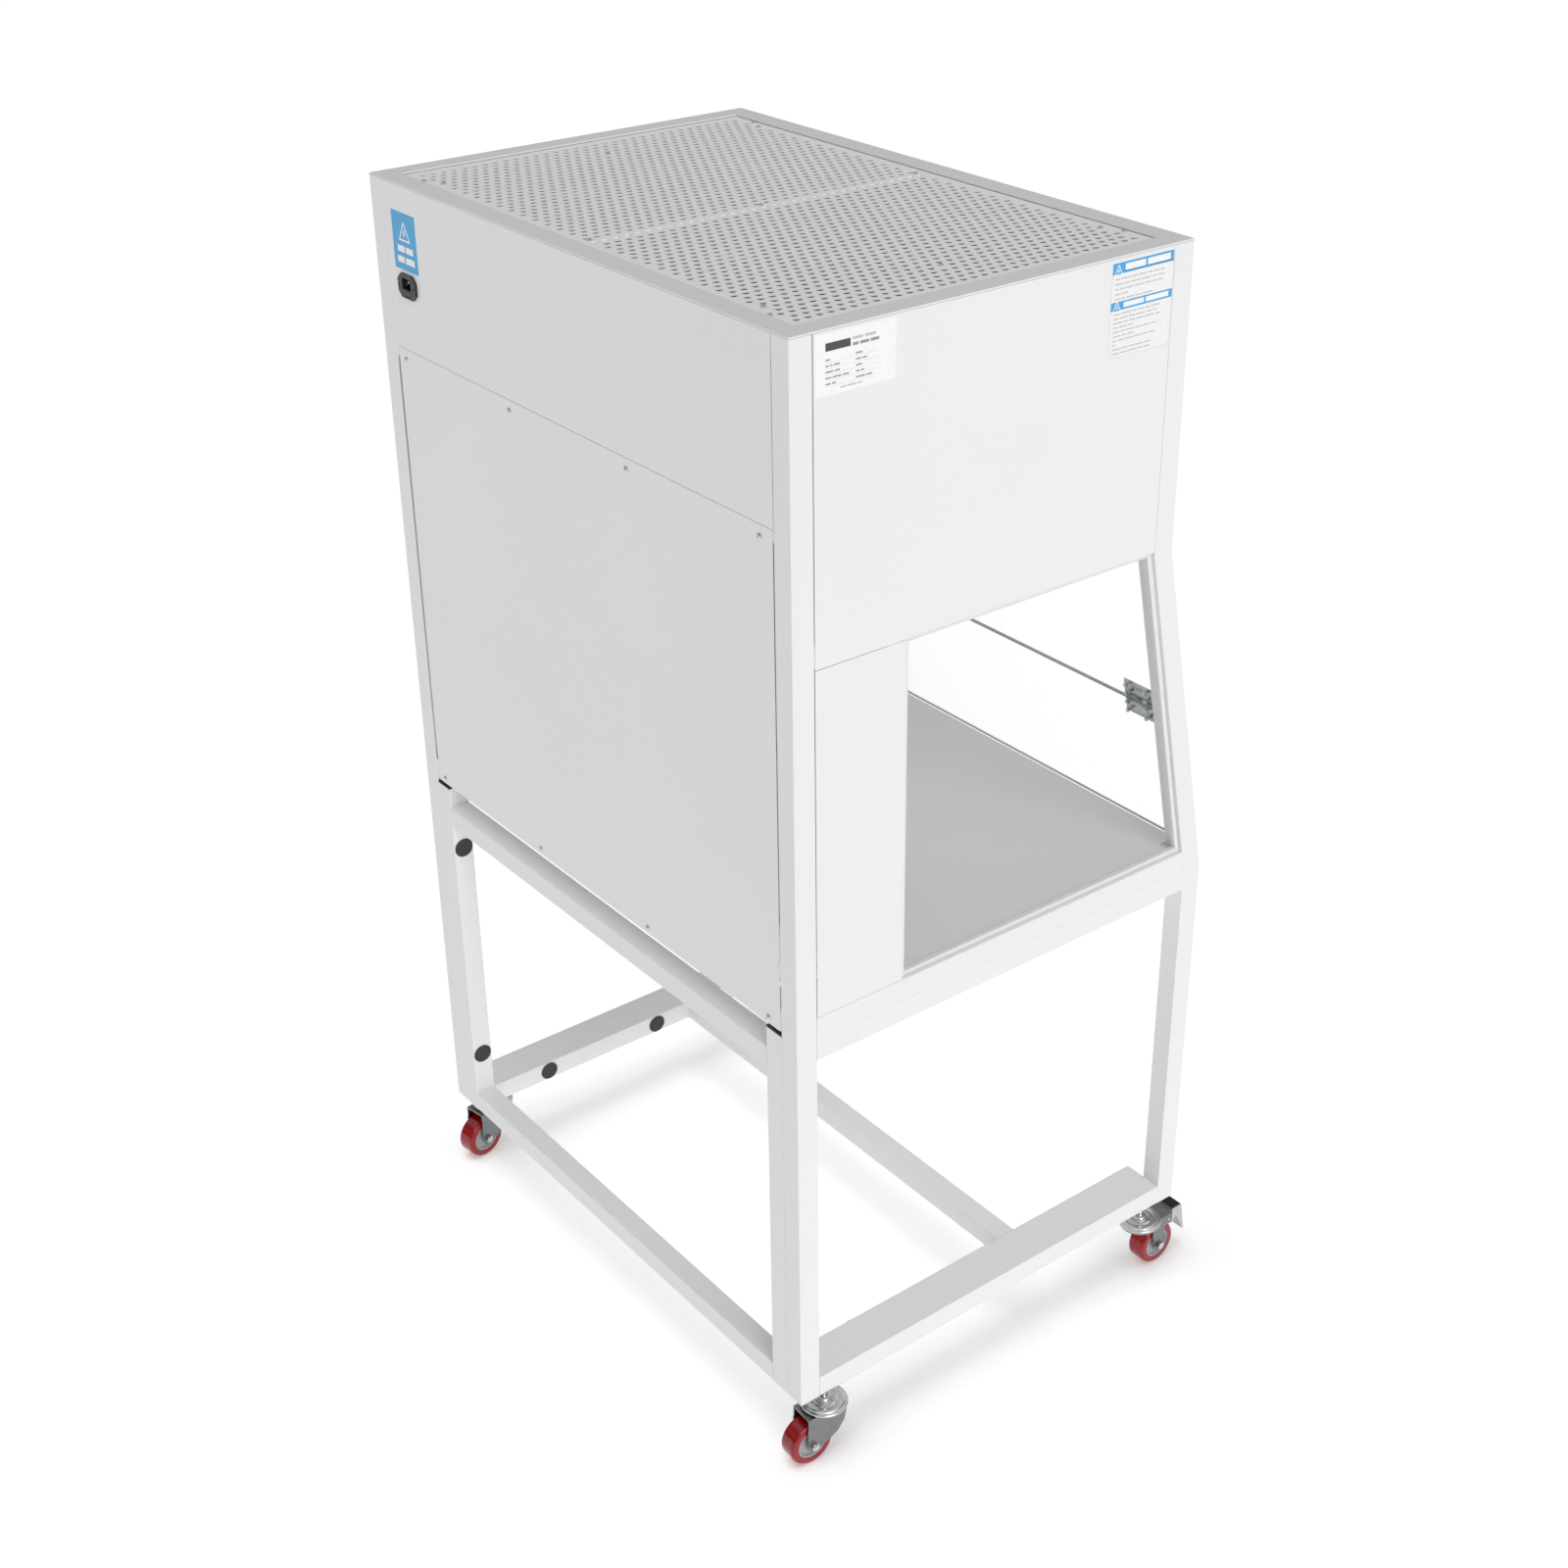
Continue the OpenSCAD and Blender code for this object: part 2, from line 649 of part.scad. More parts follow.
// A holder at each end of each tube, hung from the ceiling
module lamp_holders() {
  holder_t = 14;
  color("white") for (d = lamp_depths) for (side = sides) {
    x0 = side > 0 ? lamp_len / 2 + weld_slit : -lamp_len / 2 - weld_slit - holder_t;
    depth_box(x0, x0 + holder_t, d - lamp_d / 2, d + lamp_d / 2, lamp_z - lamp_d / 2, window_top_z - weld_slit);
  }
}

// ---- front glass and hinges, in the sloping plane ----
pane_x = inner_x - 1.5;
hinge_s = slope_length(hinge_z);
pane_gap = 2;
knuckle_r = 3;
knuckles = 5;
pin_play = 0.05;
flap_end_s = slope_length(rail_top_z + 1.5) - 3;
axis_y = front_inset - knuckle_r - 0.2;      // the hinge axis, in front of the glass
glass_screw_d = 4;
nut_h = 3;
leaf_screw_x = hinge_w / 2 - 9;
leaf_screw_z = [knuckle_r + 5, leaf_h - 6];

// Holes of one leaf's screws, through leaf and glass; dir is 1 above the axis and -1 below it
module at_leaf_screws(dir) {
  for (side = sides) for (x = [-leaf_screw_x, leaf_screw_x]) for (z = leaf_screw_z)
    translate([side * hinge_x + x, front_inset, dir * z - hinge_s]) children();
}

module pane(z_low, z_high, dir) {
  color("lightcyan", 0.3) on_slope() difference() {
    translate([-pane_x, front_inset, z_low]) cube([2 * pane_x, glass_t, z_high - z_low]);
    at_leaf_screws(dir) y_rod([0, -cut, 0], glass_screw_d + fit, glass_t + 2 * cut);
  }
}

module front_glass_upper() pane(pane_gap / 2 - hinge_s, -fit, 1);
module front_flap_glass() pane(-flap_end_s, -pane_gap / 2 - hinge_s, -1);

// One leaf plate with its share of the knuckles
module leaf(dir, first) {
  width = hinge_w / knuckles;
  play = 0.15;
  color("silver") on_slope() for (side = sides) difference() {
    union() {
      translate([side * hinge_x - hinge_w / 2, front_inset - leaf_t,
                 dir > 0 ? knuckle_r + 0.6 - hinge_s : -leaf_h - hinge_s])
        cube([hinge_w, leaf_t, leaf_h - knuckle_r - 0.6]);
      for (i = [first:2:knuckles - 1]) {
        x0 = side * hinge_x - hinge_w / 2 + i * width + play;
        x_rod([x0, axis_y, -hinge_s], 2 * knuckle_r, width - 2 * play);
        translate([x0, front_inset - leaf_t, dir > 0 ? -hinge_s : -knuckle_r - 1 - hinge_s])
          cube([width - 2 * play, leaf_t, knuckle_r + 1]);
      }
    }
    x_rod([side * hinge_x - hinge_w, axis_y, -hinge_s], pin_d + 2 * pin_play, 2 * hinge_w);
    at_leaf_screws(dir) y_rod([0, -leaf_t - cut, 0], glass_screw_d + fit, leaf_t + 2 * cut);
  }
}

module hinge_upper_leaves() leaf(1, 0);
module hinge_lower_leaves() leaf(-1, 1);

module hinge_pins() {
  color("silver") on_slope() for (side = sides)
    x_rod([side * hinge_x - hinge_w / 2, axis_y, -hinge_s], pin_d, hinge_w);
}

// Screws through a leaf and the glass, each with a nut inside
module leaf_screws(dir) {
  head_h = 1.6;
  color("silver") on_slope() at_leaf_screws(dir) {
    y_rod([0, -leaf_t - head_h, 0], 7, head_h);
    y_rod([0, -leaf_t - head_h / 2, 0], glass_screw_d, leaf_t + glass_t + nut_h);
    y_rod([0, glass_t + weld_slit, 0], 7, nut_h, 6);
  }
}

module hinge_screws() leaf_screws(1);
module flap_screws() leaf_screws(-1);

// Clips that hold the lower corners of the upper pane to the front posts
module glass_brackets() {
  clip_t = 2;
  clip_h = 20;
  clip_z = 12 - hinge_s;
  reach = 24;
  color("silver") on_slope() for (side = sides) mirror([side > 0 ? 0 : 1, 0, 0]) {
    translate([inner_x - reach, front_inset + glass_t + weld_slit, clip_z]) cube([reach - fit, clip_t, clip_h]);
    translate([inner_x - clip_t - fit, front_inset + glass_t + weld_slit, clip_z]) cube([clip_t, 16, clip_h]);
    y_rod([inner_x - reach + 7, front_inset + glass_t + clip_t, clip_z + clip_h / 2], 8, 2);
  }
}

// ---- panels ----

// Upper panel and narrow strip panel of each side, level with the frame
module side_panels() {
  color("white") for (side = sides) {
    x0 = side > 0 ? half_w - sheet : -half_w;
    depth_box(x0, x0 + sheet, tube + seam, top_d - tube - seam, window_top_z, rim_z - weld_slit);
    depth_box(x0, x0 + sheet, tube + seam, filter_d - weld_slit, rail_top_z + seam, window_top_z - seam);
  }
}

inlet_x = inner_x - 56;
inlet_z = overall_h - 149;
inlet_flange = [50, 35.5];
inlet_body = [28, 32];

module back_panel_upper() {
  hole = [inlet_body[0] + fit, inlet_body[1] + fit];
  color("gainsboro") difference() {
    depth_box(-inner_x + seam, inner_x - seam, 0, sheet, back_seam_z + seam / 2, rim_z - weld_slit);
    translate([inlet_x - hole[0] / 2, at_depth(sheet + cut), inlet_z - hole[1] / 2])
      cube([hole[0], sheet + 2 * cut, hole[1]]);
  }
}

// The access panel is narrower than its opening and is set over to the left
module back_access_panel() {
  access_w = 2 * inner_x - 10;
  shift = -3;
  color("gainsboro") difference() {
    depth_box(shift - access_w / 2, shift + access_w / 2, 0, sheet, back_rail_z, back_seam_z - seam / 2);
    at_panel_screws() translate([0, 0, -sheet - cut]) cylinder(d = screw_d + fit, h = sheet + 2 * cut, $fn = fine);
  }
}

// ---- fascia and controls ----
control_z = window_top_z + 190;
switch_x = [-40, 0];
knob_x = 46;
switch_hole = [20, 28];
bezel = [24, 32];
bezel_t = 1.5;
knob_d = 26;
knob_h = 15;
knob_shaft_d = 6;
rocker_w = 14;
rocker_h = 22;
rocker_tilt = 7;
pivot_y = 4;                         // of a rocker's pivot behind the fascia
pivot_pin_d = 2.5;
pivot_play = 0.06;
pivot_reach = 1.7;                   // of each pivot stub beyond the side of its rocker

module front_fascia() {
  color("white") difference() {
    depth_box(-inner_x + seam, inner_x - seam, top_d - sheet, top_d, window_top_z - 6, rim_z - weld_slit);
    for (x = switch_x) translate([x - switch_hole[0] / 2, at_depth(top_d + cut), control_z - switch_hole[1] / 2])
      cube([switch_hole[0], sheet + 2 * cut, switch_hole[1]]);
    y_rod([knob_x, at_depth(top_d + cut), control_z], knob_shaft_d + 4, sheet + 2 * cut);
  }
}

// Frame and body of each rocker switch
module switch_bezels() {
  body_l = 22;
  wall = 2;
  color("black") for (x = switch_x) translate([x, at_depth(top_d), control_z]) difference() {
    union() {
      translate([-bezel[0] / 2, -bezel_t, -bezel[1] / 2]) cube([bezel[0], bezel_t, bezel[1]]);
      translate([-switch_hole[0] / 2 + fit / 2, -bezel_t / 2, -switch_hole[1] / 2 + fit / 2])
        cube([switch_hole[0] - fit, body_l, switch_hole[1] - fit]);
    }
    translate([-rocker_w / 2 - fit, -bezel_t - cut, -rocker_h / 2 - 2 * fit])
      cube([rocker_w + 2 * fit, body_l - wall + bezel_t, rocker_h + 4 * fit]);
    x_rod([-rocker_w / 2 - pivot_reach - fit, pivot_y, 0], pivot_pin_d + 2 * pivot_play,
          rocker_w + 2 * (pivot_reach + fit));
  }
}

// A rocker: its two faces meet in a shallow valley over the pivot, a stub at each side
module rocker(x, tilt) {
  proud = 3.5;
  depth = 7;
  color("black") translate([x - rocker_w / 2, at_depth(top_d) + pivot_y, control_z]) rotate([tilt, 0, 0]) {
    rotate([90, 0, 90]) linear_extrude(rocker_w) polygon([
      [-pivot_y - proud, -rocker_h / 2], [-pivot_y - proud + 1.4, 0], [-pivot_y - proud, rocker_h / 2],
      [depth - pivot_y, rocker_h / 2 - 3], [depth - pivot_y, -rocker_h / 2 + 3]
    ]);
    x_rod([-pivot_reach, 0, 0], pivot_pin_d, rocker_w + 2 * pivot_reach, fine);
  }
}

module power_switch() rocker(switch_x[0], rocker_tilt);
module lamp_switch() rocker(switch_x[1], 0);

module fan_speed_knob() {
  p = [knob_x, at_depth(top_d), control_z];
  color("black") difference() {
    union() {
      y_rod([p[0], p[1] - knob_h - 0.5, p[2]], knob_d - 5, knob_h, smooth);
      y_rod([p[0], p[1] - 3.5, p[2]], knob_d, 3, smooth);
      y_rod([p[0], p[1] - 1, p[2]], knob_shaft_d, 14);
    }
    translate([p[0] - 0.6, p[1] - knob_h - 0.5 - cut, p[2] + 3]) cube([1.2, cut + 0.8, knob_d / 2]);
  }
}

// ---- mains inlet ----
socket = [24.5, 16.9];
socket_depth = 19;
socket_z = inlet_z + 3.5;
drawer = [21, 8, 18];
drawer_z = inlet_z - 12;
inlet_flange_t = 4;

// Appliance inlet with chamfered ears, a socket and a chamber for the fuse drawer
module inlet_housing() {
  ear = 9;
  w = inlet_flange[0];
  h = inlet_flange[1];
  body_l = 24;
  color("black") translate([inlet_x, at_depth(0), 0]) difference() {
    union() {
      translate([0, 0, inlet_z]) rotate([-90, 0, 0]) linear_extrude(inlet_flange_t) polygon([
        [-w / 2, -h / 2 + ear], [-w / 2 + ear, -h / 2], [w / 2 - ear, -h / 2], [w / 2, -h / 2 + ear],
        [w / 2, h / 2 - ear], [w / 2 - ear, h / 2], [-w / 2 + ear, h / 2], [-w / 2, h / 2 - ear]
      ]);
      translate([-inlet_body[0] / 2, -body_l, inlet_z - inlet_body[1] / 2])
        cube([inlet_body[0], body_l + 1, inlet_body[1]]);
    }
    translate([-socket[0] / 2, inlet_flange_t - socket_depth, socket_z - socket[1] / 2])
      cube([socket[0], socket_depth + cut, socket[1]]);
    translate([-drawer[0] / 2 - 0.3, inlet_flange_t - drawer[2] - 0.5, drawer_z - drawer[1] / 2 - 0.3])
      cube([drawer[0] + 0.6, drawer[2] + 0.5 + cut, drawer[1] + 0.6]);
    for (side = sides) y_rod([side * 20, -cut, inlet_z], 3.4, inlet_flange_t + 2 * cut);
  }
}

// Three flat contact blades
module inlet_pins() {
  blade = [2, 15, 4];
  color("silver") for (p = [[-7, -1.5], [7, -1.5], [0, 2.5]])
    translate([inlet_x + p[0] - blade[0] / 2, at_depth(0) + inlet_flange_t - socket_depth, socket_z + p[1] - blade[2] / 2])
      cube(blade);
}

module fuse_drawer() {
  y0 = at_depth(0) + inlet_flange_t - drawer[2];
  color("black") {
    translate([inlet_x - drawer[0] / 2, y0, drawer_z - drawer[1] / 2]) cube([drawer[0], drawer[2], drawer[1]]);
    translate([inlet_x - 4, y0 + drawer[2], drawer_z - drawer[1] / 2]) cube([8, 1.2, 1.5]);
  }
}

// ---- castors ----
ball_gap = 0.5;
crown_t = 2.5;
fork_gap = 2;                        // from the wheel to each leg of the fork
leg_t = 2.5;
ring_h = 6;
fork_top_z = raceway_z - ring_h - ball_gap;
crown_z = fork_top_z - 4;
leg_x = wheel_w / 2 + fork_gap;
boss_r = 11;
hub_r = wheel_r - 12;
axle_play = 0.08;
tread_round = 5;
plain_end = trail + boss_r - 1;      // end of the fork's crown plate, from the swivel axis
braked_end = pedal_reach - 34;       // the same on a castor with a brake
plain_back = -raceway_r * 0.85;      // rear edge of a leg at the crown, from the swivel axis
braked_back = 14;                    // the same on a castor with a brake
pedal_pin_x = braked_end - 8;
pedal_pin_z = crown_z - 8;
pedal_pin_d = 5;

// Places its children in a castor's own frame: Z is the swivel axis and +X is the way it trails
module in_castor(side, rear, heading) {
  at_castor(side, rear) rotate(heading) children();
}

// Threaded stem, nut and fixed upper race of each castor
module castor_stems() {
  nut_d = 20;
  nut_t = 9;
  color("silver") for (side = sides) for (rear = [true, false]) at_castor(side, rear) {
    translate([0, 0, raceway_z - cut]) cylinder(d = stem_d, h = stand_z - raceway_z + 26, $fn = fine);
    translate([0, 0, raceway_z - ring_h]) cylinder(r = raceway_r - 9, h = ring_h, $fn = smooth);
    translate([0, 0, raceway_z - ring_h]) cylinder(r = raceway_r, h = ring_h / 2, $fn = smooth);
    translate([0, 0, stand_z - nut_t]) cylinder(d = nut_d, h = nut_t, $fn = 6);
    translate([0, 0, stand_z + tube_wall + weld_slit]) cylinder(d = nut_d, h = nut_t, $fn = 6);
  }
}

// Outline of one leg, from the axle: the boss, and its way up to the crown between back and end
module leg_outline(back, end) {
  crown = crown_z - wheel_r + crown_t;
  start = back - trail;
  circle(r = boss_r, $fn = smooth);
  polygon([
    [0, -boss_r], [boss_r, 0], [boss_r, crown - 20], [end - trail, crown - 20], [end - trail, crown],
    [start, crown], [start * 0.89, crown * 0.42], [start * 0.7, crown * 0.13], [start * 0.39, -4]
  ]);
}

module fork(side, rear, heading) {
  back = rear ? plain_back : braked_back;
  end = rear ? plain_end : braked_end;
  color("silver") in_castor(side, rear, heading) difference() {
    union() {
      translate([0, 0, crown_z]) cylinder(r = raceway_r - 2, h = fork_top_z - crown_z, $fn = smooth);
      translate([0, -leg_x - leg_t, crown_z]) cube([end, 2 * (leg_x + leg_t), crown_t]);
      for (y = [-leg_x - leg_t, leg_x]) translate([trail, y + leg_t, wheel_r]) rotate([90, 0, 0])
        linear_extrude(leg_t) leg_outline(back, end);
    }
    translate([trail, -leg_x - leg_t - cut, wheel_r]) rotate([-90, 0, 0])
      cylinder(d = axle_d + 2 * axle_play, h = 2 * (leg_x + leg_t + cut), $fn = fine);
    if (!rear) translate([pedal_pin_x, -leg_x - leg_t - cut, pedal_pin_z]) rotate([-90, 0, 0])
      cylinder(d = pedal_pin_d + 2 * axle_play, h = 2 * (leg_x + leg_t + cut), $fn = fine);
  }
}

// Axle bolt with a hexagon head, and its nut
module axle(side, rear, heading) {
  reach = leg_x + leg_t + weld_slit;
  head_d = 14;
  head_h = 5;
  color("silver") in_castor(side, rear, heading) translate([trail, 0, wheel_r]) rotate([-90, 0, 0]) {
    translate([0, 0, -reach - 1]) cylinder(d = axle_d, h = 2 * reach + head_h + 3, $fn = fine);
    translate([0, 0, -reach - head_h]) cylinder(d = head_d, h = head_h, $fn = 6);
    translate([0, 0, reach]) cylinder(d = head_d, h = head_h, $fn = 6);
  }
}

// Wheel centre with recessed sides and a bore for the axle
module hub(side, rear, heading) {
  boss = axle_d + 12;
  dish = 5;
  color("lightgray") in_castor(side, rear, heading) translate([trail, 0, wheel_r]) rotate([-90, 0, 0])
    rotate_extrude($fn = smooth) polygon([
      [axle_d / 2 + axle_play, -wheel_w / 2], [boss / 2, -wheel_w / 2], [boss / 2, -wheel_w / 2 + dish],
      [hub_r - 4, -wheel_w / 2 + dish], [hub_r - 3, -wheel_w / 2 + 1], [hub_r, -wheel_w / 2 + 1],
      [hub_r, wheel_w / 2 - 1], [hub_r - 3, wheel_w / 2 - 1], [hub_r - 4, wheel_w / 2 - dish],
      [boss / 2, wheel_w / 2 - dish], [boss / 2, wheel_w / 2], [axle_d / 2 + axle_play, wheel_w / 2]
    ]);
}

// Polyurethane tyre with a rounded tread
module tyre(side, rear, heading) {
  half = wheel_w / 2;
  steps = 5;
  edge = [for (i = [0:steps]) let (a = 90 * i / steps)
    [wheel_r - tread_round + tread_round * sin(a), -half + tread_round - tread_round * cos(a)]];
  far_edge = [for (i = [0:steps]) let (a = 90 * i / steps)
    [wheel_r - tread_round + tread_round * cos(a), half - tread_round + tread_round * sin(a)]];
  color("firebrick") in_castor(side, rear, heading) translate([trail, 0, wheel_r]) rotate([-90, 0, 0])
    rotate_extrude($fn = smooth)
      polygon(concat([[hub_r, -half]], edge, far_edge, [[hub_r, half]]));
}

// Foot brake between the legs of the fork: cheeks on a pin, a padded top, a brake shoe and a lever
module brake_pedal(side, heading) {
  arm_t = 2;
  plate_t = 4;
  outer = leg_x - 0.4;
  pin_reach = leg_x + leg_t + 1;
  pad_x = braked_end + 1;
  pad_z = crown_z + 2;
  tip_z = wheel_r + 2;
  lever_x = pedal_reach - 10;
  shoe = [pedal_pin_x + 10, pedal_pin_z - 14];
  cheek = [
    [pedal_pin_x - 6, pedal_pin_z - 5], shoe, [shoe[0] + 6, shoe[1] + 4], [pad_x + 12, pedal_pin_z - 5],
    [pedal_reach - 3, tip_z], [pedal_reach, tip_z], [lever_x, pad_z + plate_t], [pad_x, pad_z + plate_t],
    [pad_x, pedal_pin_z + 6], [pedal_pin_x - 6, pedal_pin_z + 6]
  ];
  color("dimgray") in_castor(side, false, heading) {
    for (y = [-outer, outer - arm_t]) translate([0, y + arm_t, 0]) rotate([90, 0, 0])
      linear_extrude(arm_t) polygon(cheek);
    translate([pad_x, -outer, pad_z]) cube([lever_x - pad_x, 2 * outer, plate_t]);
    translate([0, outer, 0]) rotate([90, 0, 0]) linear_extrude(2 * outer) {
      polygon([[pedal_reach - 3, tip_z], [pedal_reach, tip_z], [lever_x, pad_z + plate_t], [lever_x - 3, pad_z]]);
      polygon([shoe, [shoe[0] + 6, shoe[1] + 4], [shoe[0] + 2, shoe[1] + 8], [shoe[0] - 2, shoe[1] + 6]]);
    }
    translate([pedal_pin_x, -pin_reach, pedal_pin_z]) rotate([-90, 0, 0])
      cylinder(d = pedal_pin_d, h = 2 * pin_reach, $fn = fine);
  }
}

module fork_rear_left() fork(left, true, rear_left_heading);
module fork_rear_right() fork(right, true, rear_right_heading);
module fork_front_left() fork(left, false, front_left_heading);
module fork_front_right() fork(right, false, front_right_heading);
module axle_rear_left() axle(left, true, rear_left_heading);
module axle_rear_right() axle(right, true, rear_right_heading);
module axle_front_left() axle(left, false, front_left_heading);
module axle_front_right() axle(right, false, front_right_heading);
module hub_rear_left() hub(left, true, rear_left_heading);
module hub_rear_right() hub(right, true, rear_right_heading);
module hub_front_left() hub(left, false, front_left_heading);
module hub_front_right() hub(right, false, front_right_heading);
module tyre_rear_left() tyre(left, true, rear_left_heading);
module tyre_rear_right() tyre(right, true, rear_right_heading);
module tyre_front_left() tyre(left, false, front_left_heading);
module tyre_front_right() tyre(right, false, front_right_heading);
module brake_pedal_left() brake_pedal(left, front_left_heading);
module brake_pedal_right() brake_pedal(right, front_right_heading);

stand_frame_left();
stand_frame_right();
stand_inner_frame();
stand_plugs();
stand_bolts();
cabinet_frame();
top_rim();
intake_grille();
panel_screws();
prefilter();
blower_housing();
blower_motor();
blower_impeller();
chamber_ceiling();
hepa_frame();
hepa_pack();
diffuser_screen();
worktop();
side_glass_left();
side_glass_right();
front_glass_upper();
front_flap_glass();
hinge_upper_leaves();
hinge_lower_leaves();
hinge_pins();
hinge_screws();
flap_screws();
glass_brackets();
lamp_tubes();
lamp_holders();
side_panels();
back_panel_upper();
back_access_panel();
front_fascia();
switch_bezels();
power_switch();
lamp_switch();
fan_speed_knob();
inlet_housing();
inlet_pins();
fuse_drawer();
castor_stems();
fork_rear_left();
fork_rear_right();
fork_front_left();
fork_front_right();
axle_rear_left();
axle_rear_right();
axle_front_left();
axle_front_right();
hub_rear_left();
hub_rear_right();
hub_front_left();
hub_front_right();
tyre_rear_left();
tyre_rear_right();
tyre_front_left();
tyre_front_right();
brake_pedal_left();
brake_pedal_right();
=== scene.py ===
"""A mobile laminar-flow clean bench: finishes, fine perforation, labels and castor details."""
import json
import math

import bpy
from mathutils import Matrix, Vector


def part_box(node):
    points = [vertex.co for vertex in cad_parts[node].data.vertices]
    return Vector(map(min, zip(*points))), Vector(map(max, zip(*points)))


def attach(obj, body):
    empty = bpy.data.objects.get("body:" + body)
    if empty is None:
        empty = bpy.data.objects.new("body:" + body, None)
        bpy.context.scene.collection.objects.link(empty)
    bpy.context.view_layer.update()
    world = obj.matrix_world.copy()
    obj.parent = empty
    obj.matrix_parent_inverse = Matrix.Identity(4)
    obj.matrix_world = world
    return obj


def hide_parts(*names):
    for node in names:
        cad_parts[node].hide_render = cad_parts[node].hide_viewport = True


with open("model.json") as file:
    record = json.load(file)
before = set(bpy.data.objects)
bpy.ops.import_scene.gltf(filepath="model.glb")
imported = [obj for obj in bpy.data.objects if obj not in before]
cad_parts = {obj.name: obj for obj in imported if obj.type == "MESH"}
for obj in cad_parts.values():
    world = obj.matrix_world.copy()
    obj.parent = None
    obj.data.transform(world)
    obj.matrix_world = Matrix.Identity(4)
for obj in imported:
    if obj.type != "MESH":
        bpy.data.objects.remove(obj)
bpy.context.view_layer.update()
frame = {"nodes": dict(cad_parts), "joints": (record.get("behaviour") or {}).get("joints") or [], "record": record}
NODES = frame["nodes"]
MM = 0.001
UP = Vector((0.0, 0.0, 1.0))
BACK_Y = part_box("cabinet_frame")[1].y          # plane of the back of the cabinet
PANEL_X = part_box("side_panels")[0].x           # outside of the left side panel


def depth(mm):
    """Y of a plane that lies so many millimetres in front of the cabinet's back."""
    return BACK_Y - mm * MM


# ---------------------------------------------------------------- shader tools
class Signal:
    """The output of a shader node; arithmetic on it adds Math nodes."""

    def __init__(self, shading, socket):
        self.shading = shading
        self.socket = socket

    def math(self, operation, first, second=0.0, clamp=False):
        return self.shading.add("ShaderNodeMath", {"operation": operation, "use_clamp": clamp},
                                {0: first, 1: second})

    def __add__(self, other):
        return self.math("ADD", self, other)

    def __mul__(self, other):
        return self.math("MULTIPLY", self, other)

    __radd__ = __add__
    __rmul__ = __mul__

    def clipped(self):
        """The signal held between 0 and 1."""
        return self.math("ADD", self, 0.0, clamp=True)


class Shading:
    """A node tree, and the one way that nodes are added to it."""

    def __init__(self, tree):
        self.tree = tree

    def feed(self, socket, value):
        """Sets a socket to a value, or links a signal to it."""
        if isinstance(value, Signal):
            self.tree.links.new(value.socket, socket)
        else:
            socket.default_value = value

    def add(self, kind, settings=None, inputs=None, output=0):
        """Adds a node: its settings first, then the values or links of its sockets."""
        node = self.tree.nodes.new(kind)
        for key, value in (settings or {}).items():
            if key == "stops":
                ramp = node.color_ramp
                for index, (place, colour) in enumerate(value):
                    stop = ramp.elements[index] if index < 2 else ramp.elements.new(place)
                    stop.position = place
                    stop.color = (*colour, 1.0)
            else:
                setattr(node, key, value)
        for key, value in (inputs or {}).items():
            self.feed(node.inputs[key], value)
        return Signal(self, node.outputs[output])


class Finish(Shading):
    """One material: a Principled shader and the nodes that vary it over the surface."""

    def __init__(self, name, colour, roughness, metallic=0.0, **constants):
        self.material = bpy.data.materials.new(name)
        self.material.use_nodes = True
        super().__init__(self.material.node_tree)
        self.shader = self.tree.nodes["Principled BSDF"]
        self.set("Base Color", (*colour, 1.0))
        self.set("Roughness", roughness)
        self.set("Metallic", metallic)
        for socket, value in constants.items():
            self.set(socket.replace("_", " "), value)

    def set(self, socket, value):
        """Sets a socket of the shader to a value, or links a signal to it."""
        self.feed(self.shader.inputs[socket], value)

    def place(self, scale=(1.0, 1.0, 1.0)):
        """Position on the object in metres, stretched by scale."""
        spot = self.add("ShaderNodeTexCoord", output=3)
        return self.add("ShaderNodeMapping", {}, {"Vector": spot, "Scale": scale})

    def noise(self, scale, detail=2.0, stretch=(1.0, 1.0, 1.0)):
        """Cloudy noise; stretch crowds it along an axis."""
        return self.add("ShaderNodeTexNoise", {},
                        {"Vector": self.place(stretch), "Scale": scale, "Detail": detail})

    def blend(self, factor, first, second):
        """Mixes two colours."""
        return self.add("ShaderNodeMix", {"data_type": "RGBA"},
                        {0: factor, 6: (*first, 1.0), 7: (*second, 1.0)}, output=2)

    def bump(self, height, strength, distance):
        """Fine relief that is too small to model."""
        self.set("Normal", self.add("ShaderNodeBump", {},
                                    {"Height": height, "Strength": strength, "Distance": distance}))


def shade(colour, factor):
    """A colour made lighter or darker."""
    return tuple(channel * factor for channel in colour)


# ---------------------------------------------------------------- finishes
def powder_coat(name, colour, roughness=0.42):
    """Satin powder coat: fine orange peel and a breath of unevenness."""
    coat = Finish(name, colour, roughness)
    drift = coat.noise(2.5)
    coat.set("Base Color", coat.blend(drift, shade(colour, 0.975), shade(colour, 1.02)))
    coat.set("Roughness", roughness - 0.05 + coat.noise(60.0) * 0.1)
    coat.bump(coat.noise(700.0, 1.0), 0.06, 0.0004)
    return coat.material


def zinc_plate(name, colour=(0.66, 0.67, 0.68), roughness=0.2):
    """Bright zinc: slightly cloudy metal with hairlines."""
    zinc = Finish(name, colour, roughness, metallic=1.0)
    cloud = zinc.noise(90.0, 4.0)
    zinc.set("Base Color", zinc.blend(cloud, shade(colour, 0.82), shade(colour, 1.12)))
    zinc.set("Roughness", roughness - 0.06 + cloud * 0.16)
    zinc.bump(zinc.noise(900.0, 3.0), 0.08, 0.0003)
    return zinc.material


